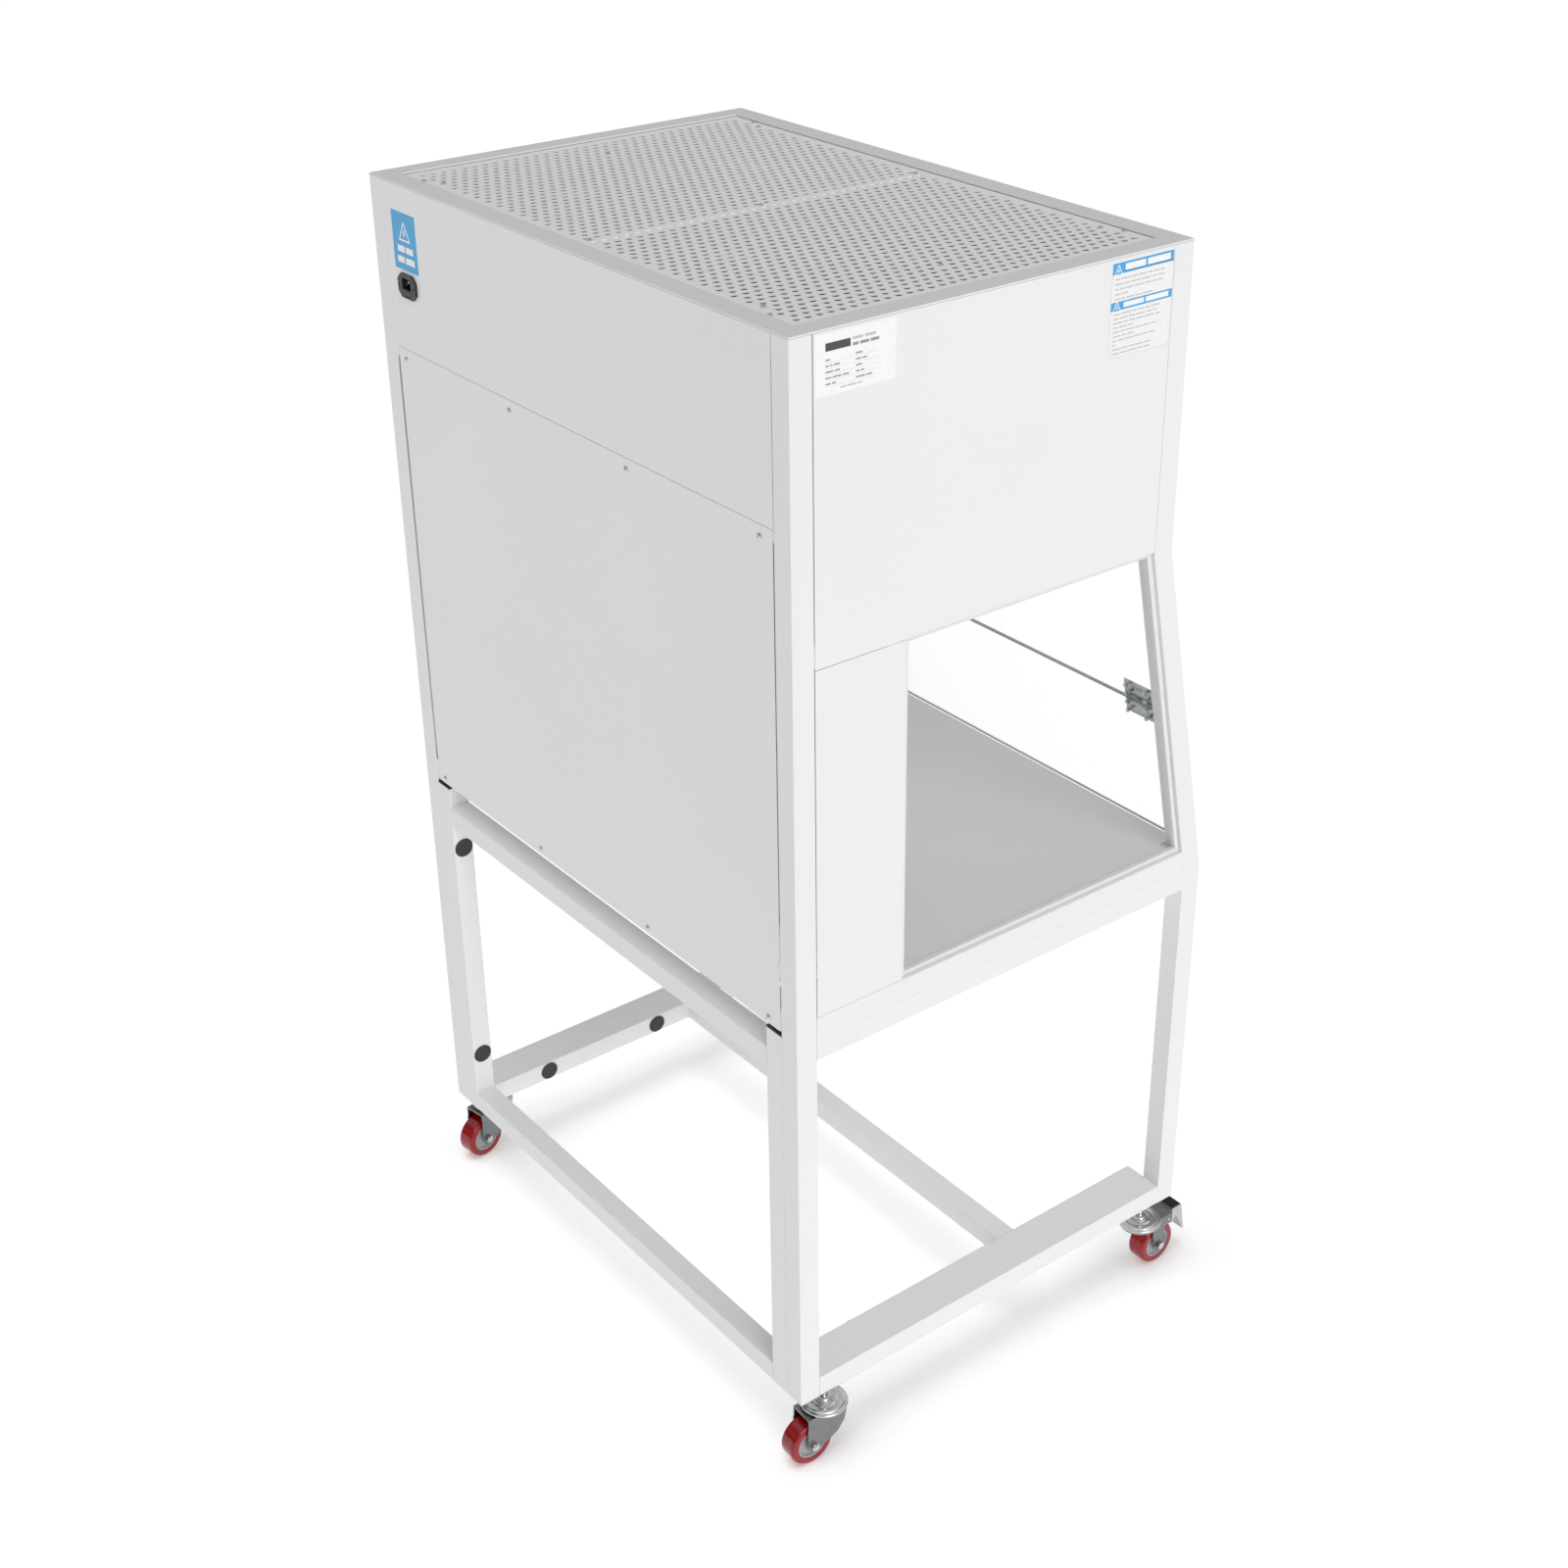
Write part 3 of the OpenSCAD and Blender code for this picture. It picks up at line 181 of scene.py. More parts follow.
def brushed_steel(name, colour, grain=(6.0, 900.0, 900.0), roughness=0.36, metallic=0.9):
    """Brushed sheet metal; the brushing runs along the axis on which grain is least."""
    steel = Finish(name, colour, roughness, metallic)
    lines = steel.noise(1.0, 3.0, grain)
    patches = steel.noise(5.0, 3.0)
    tone = lines * 0.7 + patches * 0.3
    steel.set("Base Color", steel.blend(tone, shade(colour, 0.9), shade(colour, 1.1)))
    steel.set("Roughness", roughness - 0.06 + lines * 0.16)
    steel.bump(lines, 0.1, 0.0002)
    return steel.material


def galvanised(name):
    """Galvanised sheet with its spangle."""
    sheet = Finish(name, (0.52, 0.54, 0.55), 0.4, metallic=0.85)
    spangle = sheet.add("ShaderNodeTexVoronoi", {}, {"Vector": sheet.place(), "Scale": 70.0}, output=1)
    tone = sheet.add("ShaderNodeRGBToBW", {}, {0: spangle})
    sheet.set("Base Color", sheet.blend(tone, (0.44, 0.46, 0.47), (0.6, 0.62, 0.63)))
    sheet.set("Roughness", 0.32 + tone * 0.16)
    return sheet.material


def moulded(name, colour, roughness, grain=1100.0, depth_mm=0.05):
    """Moulded plastic or rubber with a fine grain."""
    plastic = Finish(name, colour, roughness)
    speck = plastic.noise(grain, 2.0)
    plastic.set("Base Color", plastic.blend(plastic.noise(25.0), shade(colour, 0.9), shade(colour, 1.12)))
    plastic.set("Roughness", roughness - 0.05 + speck * 0.1)
    plastic.bump(speck, 0.25, depth_mm * MM)
    return plastic.material


def cast_polyurethane(name):
    """Deep red tyre, glossy, with faint swirls from the pour."""
    red = Finish(name, (0.28, 0.001, 0.004), 0.25, Coat_Roughness=0.04, Specular_IOR_Level=0.25)
    swirl = red.noise(40.0, 3.0)
    red.set("Base Color", red.blend(swirl, (0.21, 0.0008, 0.003), (0.36, 0.0015, 0.006)))
    red.set("Roughness", 0.16 + swirl * 0.14)
    red.set("Coat Weight", 0.5)
    return red.material


def filter_mat(name):
    """Bonded polyester wadding; its dark grey is partly its own colour and partly painted shade, so the grille's
    holes over it read dark.
    """
    # dark grey base and fibre tones: partly the wadding's colour, partly painted shade for the shade inside the
    # grille's holes
    mat = Finish(name, (0.33, 0.33, 0.33), 0.95)
    fibres = mat.noise(420.0, 6.0, (1.0, 2.2, 1.0))
    mat.set("Base Color", mat.blend(fibres, (0.20, 0.20, 0.203), (0.46, 0.46, 0.465)))
    mat.bump(fibres, 0.6, 0.001)
    return mat.material


def filter_paper(name):
    """Pleated glass-fibre paper, slightly rough."""
    paper = Finish(name, (0.86, 0.86, 0.83), 0.9)
    pulp = paper.noise(300.0, 4.0)
    paper.set("Base Color", paper.blend(pulp, (0.8, 0.8, 0.77), (0.9, 0.9, 0.88)))
    paper.bump(pulp, 0.3, 0.0004)
    return paper.material


def clear_glass(name):
    """Clear toughened sheet: nearly invisible face on, a faint green at a glancing angle."""
    glass = Finish(name, (0.80, 0.88, 0.86), 0.03, IOR=1.5)
    glancing = glass.add("ShaderNodeLayerWeight", {}, {"Blend": 0.12}, output=0)
    glass.set("Alpha", (0.012 + glancing * 0.25).clipped())
    glass.set("Roughness", 0.02 + glass.noise(14.0) * 0.03)
    return glass.material


def glass_edge(name):
    """Ground edge of a pane, seen end on."""
    edge = Finish(name, (0.45, 0.48, 0.48), 0.4, IOR=1.5)
    chips = edge.noise(500.0, 3.0)
    edge.set("Base Color", edge.blend(chips, (0.30, 0.32, 0.32), (0.62, 0.65, 0.65)))
    edge.set("Roughness", 0.3 + chips * 0.2)
    return edge.material


def lamp_glass(name):
    """Frosted tube glass."""
    tube = Finish(name, (0.86, 0.87, 0.9), 0.3, IOR=1.5)
    frost = tube.noise(200.0, 2.0)
    tube.set("Base Color", tube.blend(frost, (0.82, 0.83, 0.86), (0.9, 0.91, 0.94)))
    tube.set("Roughness", 0.25 + frost * 0.1)
    return tube.material


def printed(name, colour, roughness=0.4):
    """Ink or film of a label."""
    ink = Finish(name, colour, roughness)
    ink.set("Base Color", ink.blend(ink.noise(120.0), shade(colour, 0.96), shade(colour, 1.03)))
    ink.set("Roughness", roughness - 0.04 + ink.noise(300.0) * 0.08)
    return ink.material


WHITE = (0.82, 0.82, 0.82)
FINISHES = {
    "powder_white": powder_coat("powder_white", WHITE),
    "black_plastic": moulded("black_plastic", (0.018, 0.018, 0.019), 0.42),
    "switch_plastic": moulded("switch_plastic", (0.02, 0.02, 0.021), 0.26, 500.0, 0.02),
    "zinc_steel": zinc_plate("zinc_steel"),
    "grey_nylon": moulded("grey_nylon", (0.36, 0.37, 0.38), 0.32),
    "red_polyurethane": cast_polyurethane("red_polyurethane"),
    "brake_pedal": zinc_plate("brake_plate", (0.55, 0.56, 0.57), 0.3),
    "filter_mat": filter_mat("filter_mat"),
    "galvanised": galvanised("galvanised"),
    "motor_body": moulded("motor_paint", (0.08, 0.08, 0.085), 0.5, 500.0),
    "aluminium": brushed_steel("pressed_aluminium", (0.7, 0.71, 0.72), (60.0, 60.0, 500.0), 0.32),
    "filter_frame": brushed_steel("anodised_frame", (0.6, 0.61, 0.62), (8.0, 700.0, 700.0), 0.4),
    "filter_paper": filter_paper("filter_paper"),
    "screen_white": powder_coat("screen_white", shade(WHITE, 0.98)),
    "stainless": brushed_steel("worktop_steel", (0.66, 0.66, 0.665), metallic=0.35),
    "clear_glass": clear_glass("clear_glass"),
    "lamp_glass": lamp_glass("lamp_glass"),
    "lamp_plastic": moulded("lamp_plastic", (0.78, 0.78, 0.77), 0.4),
    "brass": zinc_plate("nickelled_brass", (0.72, 0.66, 0.5), 0.22),
}
GRILLE_PAINT = powder_coat("grille_paint", (0.93, 0.93, 0.93), 0.5)
PRESSED_ZINC = zinc_plate("pressed_zinc", (0.24, 0.245, 0.25), 0.3)
GLASS_EDGE = glass_edge("glass_edge")
INKS = {
    "film": printed("label_film", (0.9, 0.9, 0.9), 0.28),
    "paper": printed("label_paper", (0.86, 0.86, 0.86), 0.5),
    "blue": printed("label_blue", (0.055, 0.38, 0.72), 0.4),
    "grey": printed("label_grey", (0.3, 0.3, 0.3)),
    "pale": printed("label_pale", (0.52, 0.52, 0.52)),
    "white": printed("label_white", (0.9, 0.9, 0.9)),
    "dark": printed("label_dark", (0.06, 0.06, 0.06)),
}
RUBBER = moulded("pad_rubber", (0.015, 0.015, 0.016), 0.6, 700.0, 0.1)


# ---------------------------------------------------------------- mesh tools
def mesh_piece(name, vertices, faces, materials, indices=None, smooth_below=None):
    """An object from plain lists; edges sharper than smooth_below degrees stay sharp."""
    mesh = bpy.data.meshes.new(name)
    mesh.from_pydata([tuple(v) for v in vertices], [], [tuple(f) for f in faces])
    for material in materials:
        mesh.materials.append(material)
    if indices is not None:
        mesh.polygons.foreach_set("material_index", indices)
    piece = bpy.data.objects.new(name, mesh)
    bpy.context.scene.collection.objects.link(piece)
    if smooth_below is not None:
        mesh.shade_smooth()
        mesh.set_sharp_from_angle(angle=math.radians(smooth_below))
    return piece


class Shape:
    """Gathers prisms, lathed rings and loose faces into the lists of one mesh."""

    def __init__(self):
        self.vertices, self.faces, self.indices = [], [], []

    def faces_on(self, points, faces, material=0):
        """Adds points, and faces that count from the first of them."""
        start = len(self.vertices)
        self.vertices += [tuple(p) for p in points]
        self.faces += [tuple(start + i for i in face) for face in faces]
        self.indices += [material] * len(faces)

    def prism(self, outline, place, along, material=0):
        """A closed outline of 2D points, taken to 3D by place and swept by the vector along."""
        base = [Vector(place(*point)) for point in outline]
        count = len(base)
        sides = [(i, (i + 1) % count, (i + 1) % count + count, i + count) for i in range(count)]
        caps = [tuple(reversed(range(count))), tuple(range(count, 2 * count))]
        self.faces_on([*base, *(p + Vector(along) for p in base)], sides + caps, material)

    def lathe(self, profile, centre, steps):
        """Turns a closed profile of (radius, height) round a vertical axis."""
        points, faces = [], []
        rows = len(profile)
        for step in range(steps):
            turn = 2 * math.pi * step / steps
            points += [(centre[0] + r * math.cos(turn), centre[1] + r * math.sin(turn), centre[2] + z)
                       for r, z in profile]
        for step in range(steps):
            after = (step + 1) % steps
            for row in range(rows):
                up = (row + 1) % rows
                faces.append((step * rows + row, after * rows + row, after * rows + up, step * rows + up))
        self.faces_on(points, faces)

    def piece(self, name, materials, smooth_below=None):
        return mesh_piece(name, self.vertices, self.faces, materials, self.indices, smooth_below)


LONG_EDGE = 100 * MM                           # longer than any edge across a tube
WELD_REACH = 0.001 * MM


def mark_long_edges(mesh):
    """Marks a tube's long edges for rounding; its welded ends stay square."""
    uses = [0] * len(mesh.edges)
    for loop in mesh.loops:
        uses[loop.edge_index] += 1
    weights = []
    for edge, used in zip(mesh.edges, uses):
        start, end = (mesh.vertices[i].co for i in edge.vertices)
        weights.append(1.0 if used == 1 and (end - start).length > LONG_EDGE else 0.0)
    mesh.attributes.new("bevel_weight_edge", "FLOAT", "EDGE").data.foreach_set("value", weights)


def ease_edges(node, width_mm, segments=2, tubes=False):
    """Rounds the sharp edges of a CAD node a little, as paint, a press or rolling leaves them."""
    piece = NODES[node]
    if tubes:
        mark_long_edges(piece.data)
    weld = piece.modifiers.new("weld", "WELD")
    weld.merge_threshold = WELD_REACH
    flat = piece.modifiers.new("flat_faces", "DECIMATE")
    flat.decimate_type = "DISSOLVE"
    flat.angle_limit = math.radians(0.5)
    edge = piece.modifiers.new("eased_edges", "BEVEL")
    edge.width = width_mm * MM
    edge.segments = segments
    edge.limit_method = "WEIGHT" if tubes else "ANGLE"
    edge.angle_limit = math.radians(32)
    edge.harden_normals = True
    edge.use_clamp_overlap = True


# ---------------------------------------------------------------- perforated sheets
def points_between(start, end, parts):
    """Points from start up to, but not including, end."""
    return [(start[0] + (end[0] - start[0]) * i / parts, start[1] + (end[1] - start[1]) * i / parts)
            for i in range(parts)]


class PunchedSheet:
    """A flat sheet with staggered round holes, drawn in its own plane (u, v)."""

    def __init__(self, low, high, hole_d, row_step, points):
        self.low, self.high = low, high
        self.hole_r = hole_d / 2
        self.row_step = row_step
        self.points = points                       # corners of a hole, a multiple of 8
        self.quarter = points // 4                 # of them on each side of a whole cell
        self.where, self.flat, self.faces = {}, [], []

    def at(self, u, v):
        """The number of the point at (u, v), made if it isn't there yet."""
        key = (round(u, 7), round(v, 7))
        if key not in self.where:
            self.where[key] = len(self.flat)
            self.flat.append(key)
        return self.where[key]

    def cell(self, u, v, half_u, half_v, punched):
        """One hole and the sheet round it, or just the sheet."""
        corners = [(u + half_u, v + half_v), (u - half_u, v + half_v), (u - half_u, v - half_v),
                   (u + half_u, v - half_v)]
        whole = half_v > self.row_step * 0.4      # a half cell fills the end of a shifted column
        outer = []
        for i in range(4):
            parts = self.quarter if i % 2 == 0 or whole else self.quarter // 2
            outer += points_between(corners[i], corners[(i + 1) % 4], parts)
        outer = [self.at(*p) for p in outer]
        if not punched:
            self.faces.append(outer)
            return
        turns = [math.pi / 4 + 2 * math.pi * i / self.points for i in range(self.points)]
        hole = [self.at(u + self.hole_r * math.cos(t), v + self.hole_r * math.sin(t)) for t in turns]
        for i in range(self.points):
            after = (i + 1) % self.points
            self.faces.append([outer[i], outer[after], hole[after], hole[i]])

    def block(self, first_u, columns, column_step, first_v, rows, keep_clear):
        """Columns of holes, every second one half a step further on and one hole shorter."""
        half_u, half_v = column_step / 2, self.row_step / 2
        for column in range(columns):
            u = first_u + column * column_step
            shift = column % 2
            for row in range(rows - shift):
                v = first_v + (row + shift / 2) * self.row_step
                punched = all(math.hypot(u - a, v - b) > r for a, b, r in keep_clear)
                self.cell(u, v, half_u, half_v, punched)
            if shift:
                for v in (first_v - half_v / 2, first_v + (rows - 1) * self.row_step + half_v / 2):
                    self.cell(u, v, half_u, half_v / 2, False)
        left, right = first_u - half_u, first_u + (columns - 0.5) * column_step
        low, high = first_v - half_v, first_v + (rows - 0.5) * self.row_step
        across = points_between((left, low), (right, low), columns * self.quarter)
        along = points_between((left, low), (left, high), rows * self.quarter)
        return {"left": left, "right": right, "low": low, "high": high,
                "across": [p[0] for p in across] + [right], "along": [p[1] for p in along] + [high]}

    def margins(self, blocks):
        """Plain sheet round and between the blocks."""
        (u0, v0), (u1, v1) = self.low, self.high
        first, last = blocks[0], blocks[-1]
        low, high = first["low"], first["high"]
        across = sorted({round(u, 9) for block in blocks for u in block["across"]})
        for outer, inner in ((v0, low), (v1, high)):
            self.strip([(u0, outer), (u1, outer)],
                       [(u1, inner), *((u, inner) for u in reversed(across)), (u0, inner)])
        for outer, inner, block in ((u0, first["left"], first), (u1, last["right"], last)):
            self.strip([(outer, low), (outer, high)], [(inner, v) for v in reversed(block["along"])])
        for before, after in zip(blocks, blocks[1:]):
            self.strip([(before["right"], v) for v in before["along"]],
                       [(after["left"], v) for v in reversed(after["along"])])

    def strip(self, there, back):
        """One face between two runs of points, the second of them given backwards."""
        loop = []
        for point in [*there, *back]:
            index = self.at(*point)
            if index not in loop[-1:]:
                loop.append(index)
        area = sum(self.flat[a][0] * self.flat[b][1] - self.flat[b][0] * self.flat[a][1]
                   for a, b in zip(loop, loop[1:] + loop[:1]))
        self.faces.append(loop if area > 0 else loop[::-1])

    def piece(self, name, place, thickness, material):
        """Gives the sheet its thickness, with walls on every free edge; place takes it to 3D."""
        count = len(self.flat)
        top = [place(u, v, 0.0) for u, v in self.flat]
        below = [place(u, v, -thickness) for u, v in self.flat]
        edges = dict.fromkeys(pair for face in self.faces for pair in zip(face, face[1:] + face[:1]))
        walls = [(b, a, a + count, b + count) for a, b in edges if (b, a) not in edges]
        faces = [*self.faces, *([i + count for i in reversed(face)] for face in self.faces), *walls]
        return mesh_piece(name, top + below, faces, [material])


# ---------------------------------------------------------------- intake: grille and mats
GRILLE_HOLE_D = 10 * MM
GRILLE_COLUMNS, GRILLE_ROWS = 29, 33           # of each of the two fields
GRILLE_COLUMN_STEP, GRILLE_ROW_STEP = 15.43 * MM, 17.53 * MM
GRILLE_FIRST_COLUMN = 11 * MM                  # from the middle of the plain strip
GRILLE_FIRST_ROW = 616                         # depth of the foremost holes
GRILLE_SCREW_X = (-380 * MM, 0.0, 380 * MM)
GRILLE_SCREW_DEPTHS = (55, 336, 617)
GRILLE_SCREW_CLEAR = 6.8 * MM                  # no hole comes this near to a screw


def intake_grille():
    """Punched sheet over the intake: two fields of holes with a plain strip between them."""
    low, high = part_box("intake_grille")
    sheet = PunchedSheet((low.x, low.y), (high.x, high.y), GRILLE_HOLE_D, GRILLE_ROW_STEP, points=16)
    screws = [(x, depth(d), GRILLE_SCREW_CLEAR) for x in GRILLE_SCREW_X for d in GRILLE_SCREW_DEPTHS]
    span = (GRILLE_COLUMNS - 1) * GRILLE_COLUMN_STEP
    sheet.margins([sheet.block(first_u, GRILLE_COLUMNS, GRILLE_COLUMN_STEP, depth(GRILLE_FIRST_ROW),
                               GRILLE_ROWS, screws)
                   for first_u in (-GRILLE_FIRST_COLUMN - span, GRILLE_FIRST_COLUMN)])
    grille = sheet.piece("intake_grille_sheet", lambda u, v, w: (u, v, high.z + w), high.z - low.z,
                         GRILLE_PAINT)
    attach(grille, "cabinet")
    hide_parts("intake_grille")


MAT_COLUMNS, MAT_ROWS = 240, 60                # facets of one mat
MAT_GAP = 13 * MM                              # from the middle to the inner edge of a mat
MAT_TEAR, MAT_TEAR_DEPTH = 3.5 * MM, 2.4 * MM
MAT_SAG, MAT_SWELL, MAT_FLUFF = 4.6 * MM, 2.8 * MM, 0.18 * MM
MAT_LEAST_SAG = 0.4 * MM


def torn_edge(x):
    """How far a mat's front edge stands back, wavy as if pulled apart by hand."""
    wave = math.sin(x * 38 + 0.9) + 0.7 * math.sin(x * 83 + 2.1) + 0.45 * math.sin(x * 171 - 0.6)
    return MAT_TEAR + MAT_TEAR_DEPTH * wave


def mat_sag(x, y):
    """How far a mat's face hangs below the grille: broad swells under a fine fluff."""
    swell = math.sin(x * 17 + 1.3) * math.sin(y * 21 - 0.4) + 0.6 * math.sin(x * 31 - y * 26 + 0.8)
    fluff = math.sin(x * 410 + y * 90) * math.sin(y * 530 - x * 60) + math.sin(x * 137) * math.sin(y * 151)
    return max(MAT_LEAST_SAG, MAT_SAG - MAT_SWELL * swell) - MAT_FLUFF * fluff


def prefilter_mats():
    """Two fibre mats under the grille, each torn to a wavy edge along the front."""
    low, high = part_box("prefilter")
    mats = Shape()
    for side in (-1, 1):
        near, far = side * MAT_GAP, side * high.x
        points = []
        for i in range(MAT_COLUMNS + 1):
            x = near + (far - near) * i / MAT_COLUMNS
            front = low.y + torn_edge(x)
            for j in range(MAT_ROWS + 1):
                y = front + (high.y - front) * j / MAT_ROWS
                points.append((x, y, high.z - mat_sag(x, y)))
        count = len(points)
        points += [(x, y, low.z) for x, y, z in points]
        stride = MAT_ROWS + 1
        upper = [(i * stride + j, (i + 1) * stride + j, (i + 1) * stride + j + 1, i * stride + j + 1)
                 for i in range(MAT_COLUMNS) for j in range(MAT_ROWS)]
        under = [tuple(i + count for i in reversed(face)) for face in upper]
        rim = [i * stride for i in range(MAT_COLUMNS + 1)]
        rim += [MAT_COLUMNS * stride + j for j in range(1, stride)]
        rim += [i * stride + MAT_ROWS for i in range(MAT_COLUMNS - 1, -1, -1)]
        rim += list(range(MAT_ROWS - 1, 0, -1))
        walls = [(b, a, a + count, b + count) for a, b in zip(rim, rim[1:] + rim[:1])]
        skin = upper + under + walls
        mats.faces_on(points, skin if side > 0 else [face[::-1] for face in skin])
    mat = mats.piece("prefilter_mats", [FINISHES["filter_mat"]], smooth_below=40)
    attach(mat, "cabinet")
    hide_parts("prefilter")


# ---------------------------------------------------------------- main filter
SCREEN_HOLE_D = 6.2 * MM
SCREEN_COLUMN_STEP, SCREEN_ROW_STEP = 12.5 * MM, 14.5 * MM
SCREEN_MARGIN = 30 * MM                        # plain edges of both sides together


def diffuser_sheet():
    """Finely punched screen in front of the main filter."""
    low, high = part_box("diffuser_screen")
    columns = int((high.x - low.x - SCREEN_MARGIN) / SCREEN_COLUMN_STEP)
    rows = int((high.z - low.z - SCREEN_MARGIN) / SCREEN_ROW_STEP)
    sheet = PunchedSheet((low.x, low.z), (high.x, high.z), SCREEN_HOLE_D, SCREEN_ROW_STEP, points=8)
    first_u = (low.x + high.x - (columns - 1) * SCREEN_COLUMN_STEP) / 2
    first_v = (low.z + high.z - (rows - 1) * SCREEN_ROW_STEP) / 2
    sheet.margins([sheet.block(first_u, columns, SCREEN_COLUMN_STEP, first_v, rows, [])])
    screen = sheet.piece("diffuser_sheet", lambda u, v, w: (u, low.y - w, v), high.y - low.y,
                         FINISHES["screen_white"])
    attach(screen, "cabinet")
    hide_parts("diffuser_screen")


PLEATS = 110
PAPER_T = 0.8 * MM


def filter_pleats():
    """The pleated pack of the main filter."""
    low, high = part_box("hepa_pack")
    step = (high.x - low.x - 4 * PAPER_T) / PLEATS
    front = [(low.x + PAPER_T + i * step / 2, low.y + PAPER_T if i % 2 else high.y - 2 * PAPER_T)
             for i in range(2 * PLEATS + 1)]
    back = [(x, y + PAPER_T) for x, y in front]
    pack = Shape()
    for i in range(2 * PLEATS):
        pack.prism([front[i], front[i + 1], back[i + 1], back[i]], lambda x, y: (x, y, low.z),
                   (0, 0, high.z - low.z))
    paper = pack.piece("filter_pleats", [FINISHES["filter_paper"]])
    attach(paper, "cabinet")
    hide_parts("hepa_pack")


# ---------------------------------------------------------------- labels
class Label:
    """A thin plate on a panel, with its print as thinner patches. Sizes in millimetres."""

    FILM_T = 0.15
    INK_T = 0.04
    GAP = 0.02                                 # keeps the plate's back just off the paint

    def __init__(self, corner, right, out):
        self.corner, self.right, self.out = Vector(corner), Vector(right), Vector(out)
        self.shape = Shape()
        self.inks = []

    def spot(self, x, z, lift):
        """A place on the label, lifted off the panel."""
        return self.corner + self.right * (x * MM) + UP * (z * MM) + self.out * (lift * MM)

    def ink(self, name):
        """The number of an ink among the label's materials."""
        if name not in self.inks:
            self.inks.append(name)
        return self.inks.index(name)

    def outline(self, points, ink, layer=1):
        """A filled outline; layer 0 is the plate itself."""
        lift = self.FILM_T + (layer - 1) * self.INK_T if layer else self.GAP
        thick = (self.INK_T if layer else self.FILM_T - self.GAP) * MM
        turned = self.right.cross(UP).dot(self.out) < 0
        points = points[::-1] if turned else points
        self.shape.prism(points, lambda x, z: self.spot(x, z, lift), self.out * thick, self.ink(ink))

    def bar(self, x0, z0, x1, z1, ink, layer=1):
        """A filled rectangle."""
        self.outline([(x0, z0), (x1, z0), (x1, z1), (x0, z1)], ink, layer)

    def triangle(self, x, z, size, line, ink, inside, layer=1):
        """A plain warning triangle with a small bolt in it."""
        high = size * 0.9
        self.outline([(x - size / 2, z), (x + size / 2, z), (x, z + high)], ink, layer)
        inner = size - 3.2 * line
        self.outline([(x - inner / 2, z + line * 0.95), (x + inner / 2, z + line * 0.95),
                      (x, z + line * 0.95 + inner * 0.9)], inside, layer + 1)
        bolt = [(-0.02, 0.52), (-0.11, 0.27), (-0.01, 0.29), (-0.05, 0.1), (0.12, 0.36), (0.02, 0.34),
                (0.06, 0.52)]
        self.outline([(x + a * size, z + b * size * 0.92 + line * 0.3) for a, b in reversed(bolt)], ink,
                     layer + 2)

    def border(self, x0, z0, x1, z1, line, ink, layer=1):
        """A thin border."""
        for low_x, low_z, high_x, high_z in ((x0, z0, x1, z0 + line), (x0, z1 - line, x1, z1),
                                             (x0, z0 + line, x0 + line, z1 - line),
                                             (x1 - line, z0 + line, x1, z1 - line)):
            self.bar(low_x, low_z, high_x, high_z, ink, layer)

    def words(self, x0, z, widths, high, gap, ink, layer=1):
        """A line of print as a row of plain bars, one for each word."""
        x = x0
        for width in widths:
            self.bar(x, z, x + width, z + high, ink, layer)
            x += width + gap

    def finish(self, name):
        """Makes the piece and fixes it to the cabinet."""
        label = self.shape.piece(name, [INKS[ink] for ink in self.inks])
        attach(label, "cabinet")


def nameplate():
    """White film plate at the back of the left side, its print as blank bars."""
    plate = Label((PANEL_X, depth(38), 1689 * MM), right=(0, -1, 0), out=(-1, 0, 0))
    plate.bar(0, 0, 124, 76, "film", 0)
    plate.bar(16, 54, 54, 64, "dark")
    plate.words(57, 61, (16, 17), 3.2, 2.5, "pale")
    plate.words(57, 53.5, (9, 14, 13), 3.8, 2.2, "grey")
    rows = (((7,), (10,)), ((5, 4, 9), (8, 7)), ((12, 8), (9,)), ((9, 13, 10), (6, 5)), ((8, 6), (14, 9)))
    for row, (left, right) in enumerate(rows):
        z = 42.5 - row * 7.4
        plate.words(16, z, left, 2.0, 1.8, "grey")
        plate.words(62, z, right, 2.0, 1.8, "grey")
        plate.bar(16, z - 2.2, 96, z - 1.9, "pale")
    plate.words(38, 5.5, (9, 14, 7), 2.0, 1.5, "pale")
    plate.finish("nameplate")


def notice_label():
    """White notice at the front of the left side: two blue headings over lines of blank print."""
    notice = Label((PANEL_X, depth(521.5), 1634.5 * MM), right=(0, -1, 0), out=(-1, 0, 0))
    wide, tall = 114, 128
    notice.bar(0, 0, wide, tall, "paper", 0)
    notice.border(1.2, 1.2, wide - 1.2, tall - 13, 0.5, "pale")
    for z0, z1 in ((tall - 14.5, tall), (tall - 63, tall - 51.5)):
        notice.bar(1.2, z0, wide - 1.2, z1, "blue")
        notice.triangle(12, z0 - 1.8, 16, 1.3, "white", "blue", 2)
        notice.words(24, z0 + (z1 - z0) * 0.22, (37, 42), (z1 - z0) * 0.58, 3.5, "white", 2)
    upper = ((8, 16, 12, 14, 9, 11, 8), (15, 9, 18, 16, 10, 12), (7, 9, 13, 17, 12, 8, 9), (12, 9),
             (10, 7, 14, 12, 18))
    lower = ((12, 18, 9, 11, 8, 16), (10, 14, 12, 16, 9, 7), (16, 9, 11, 13, 18, 8), (9, 14, 10),
             (12, 8, 15, 11, 17, 6), (14, 9, 12), (8, 10, 16, 13, 9, 12), (7,), (15, 12, 9, 17, 10),
             (14, 11, 16, 9, 12))
    for rows, top, step in ((upper, tall - 22.5, 6.6), (lower, tall - 69, 5.9)):
        for row, widths in enumerate(rows):
            notice.words(7, top - row * step, widths, 1.7, 2.0, "pale")
    notice.finish("notice_label")


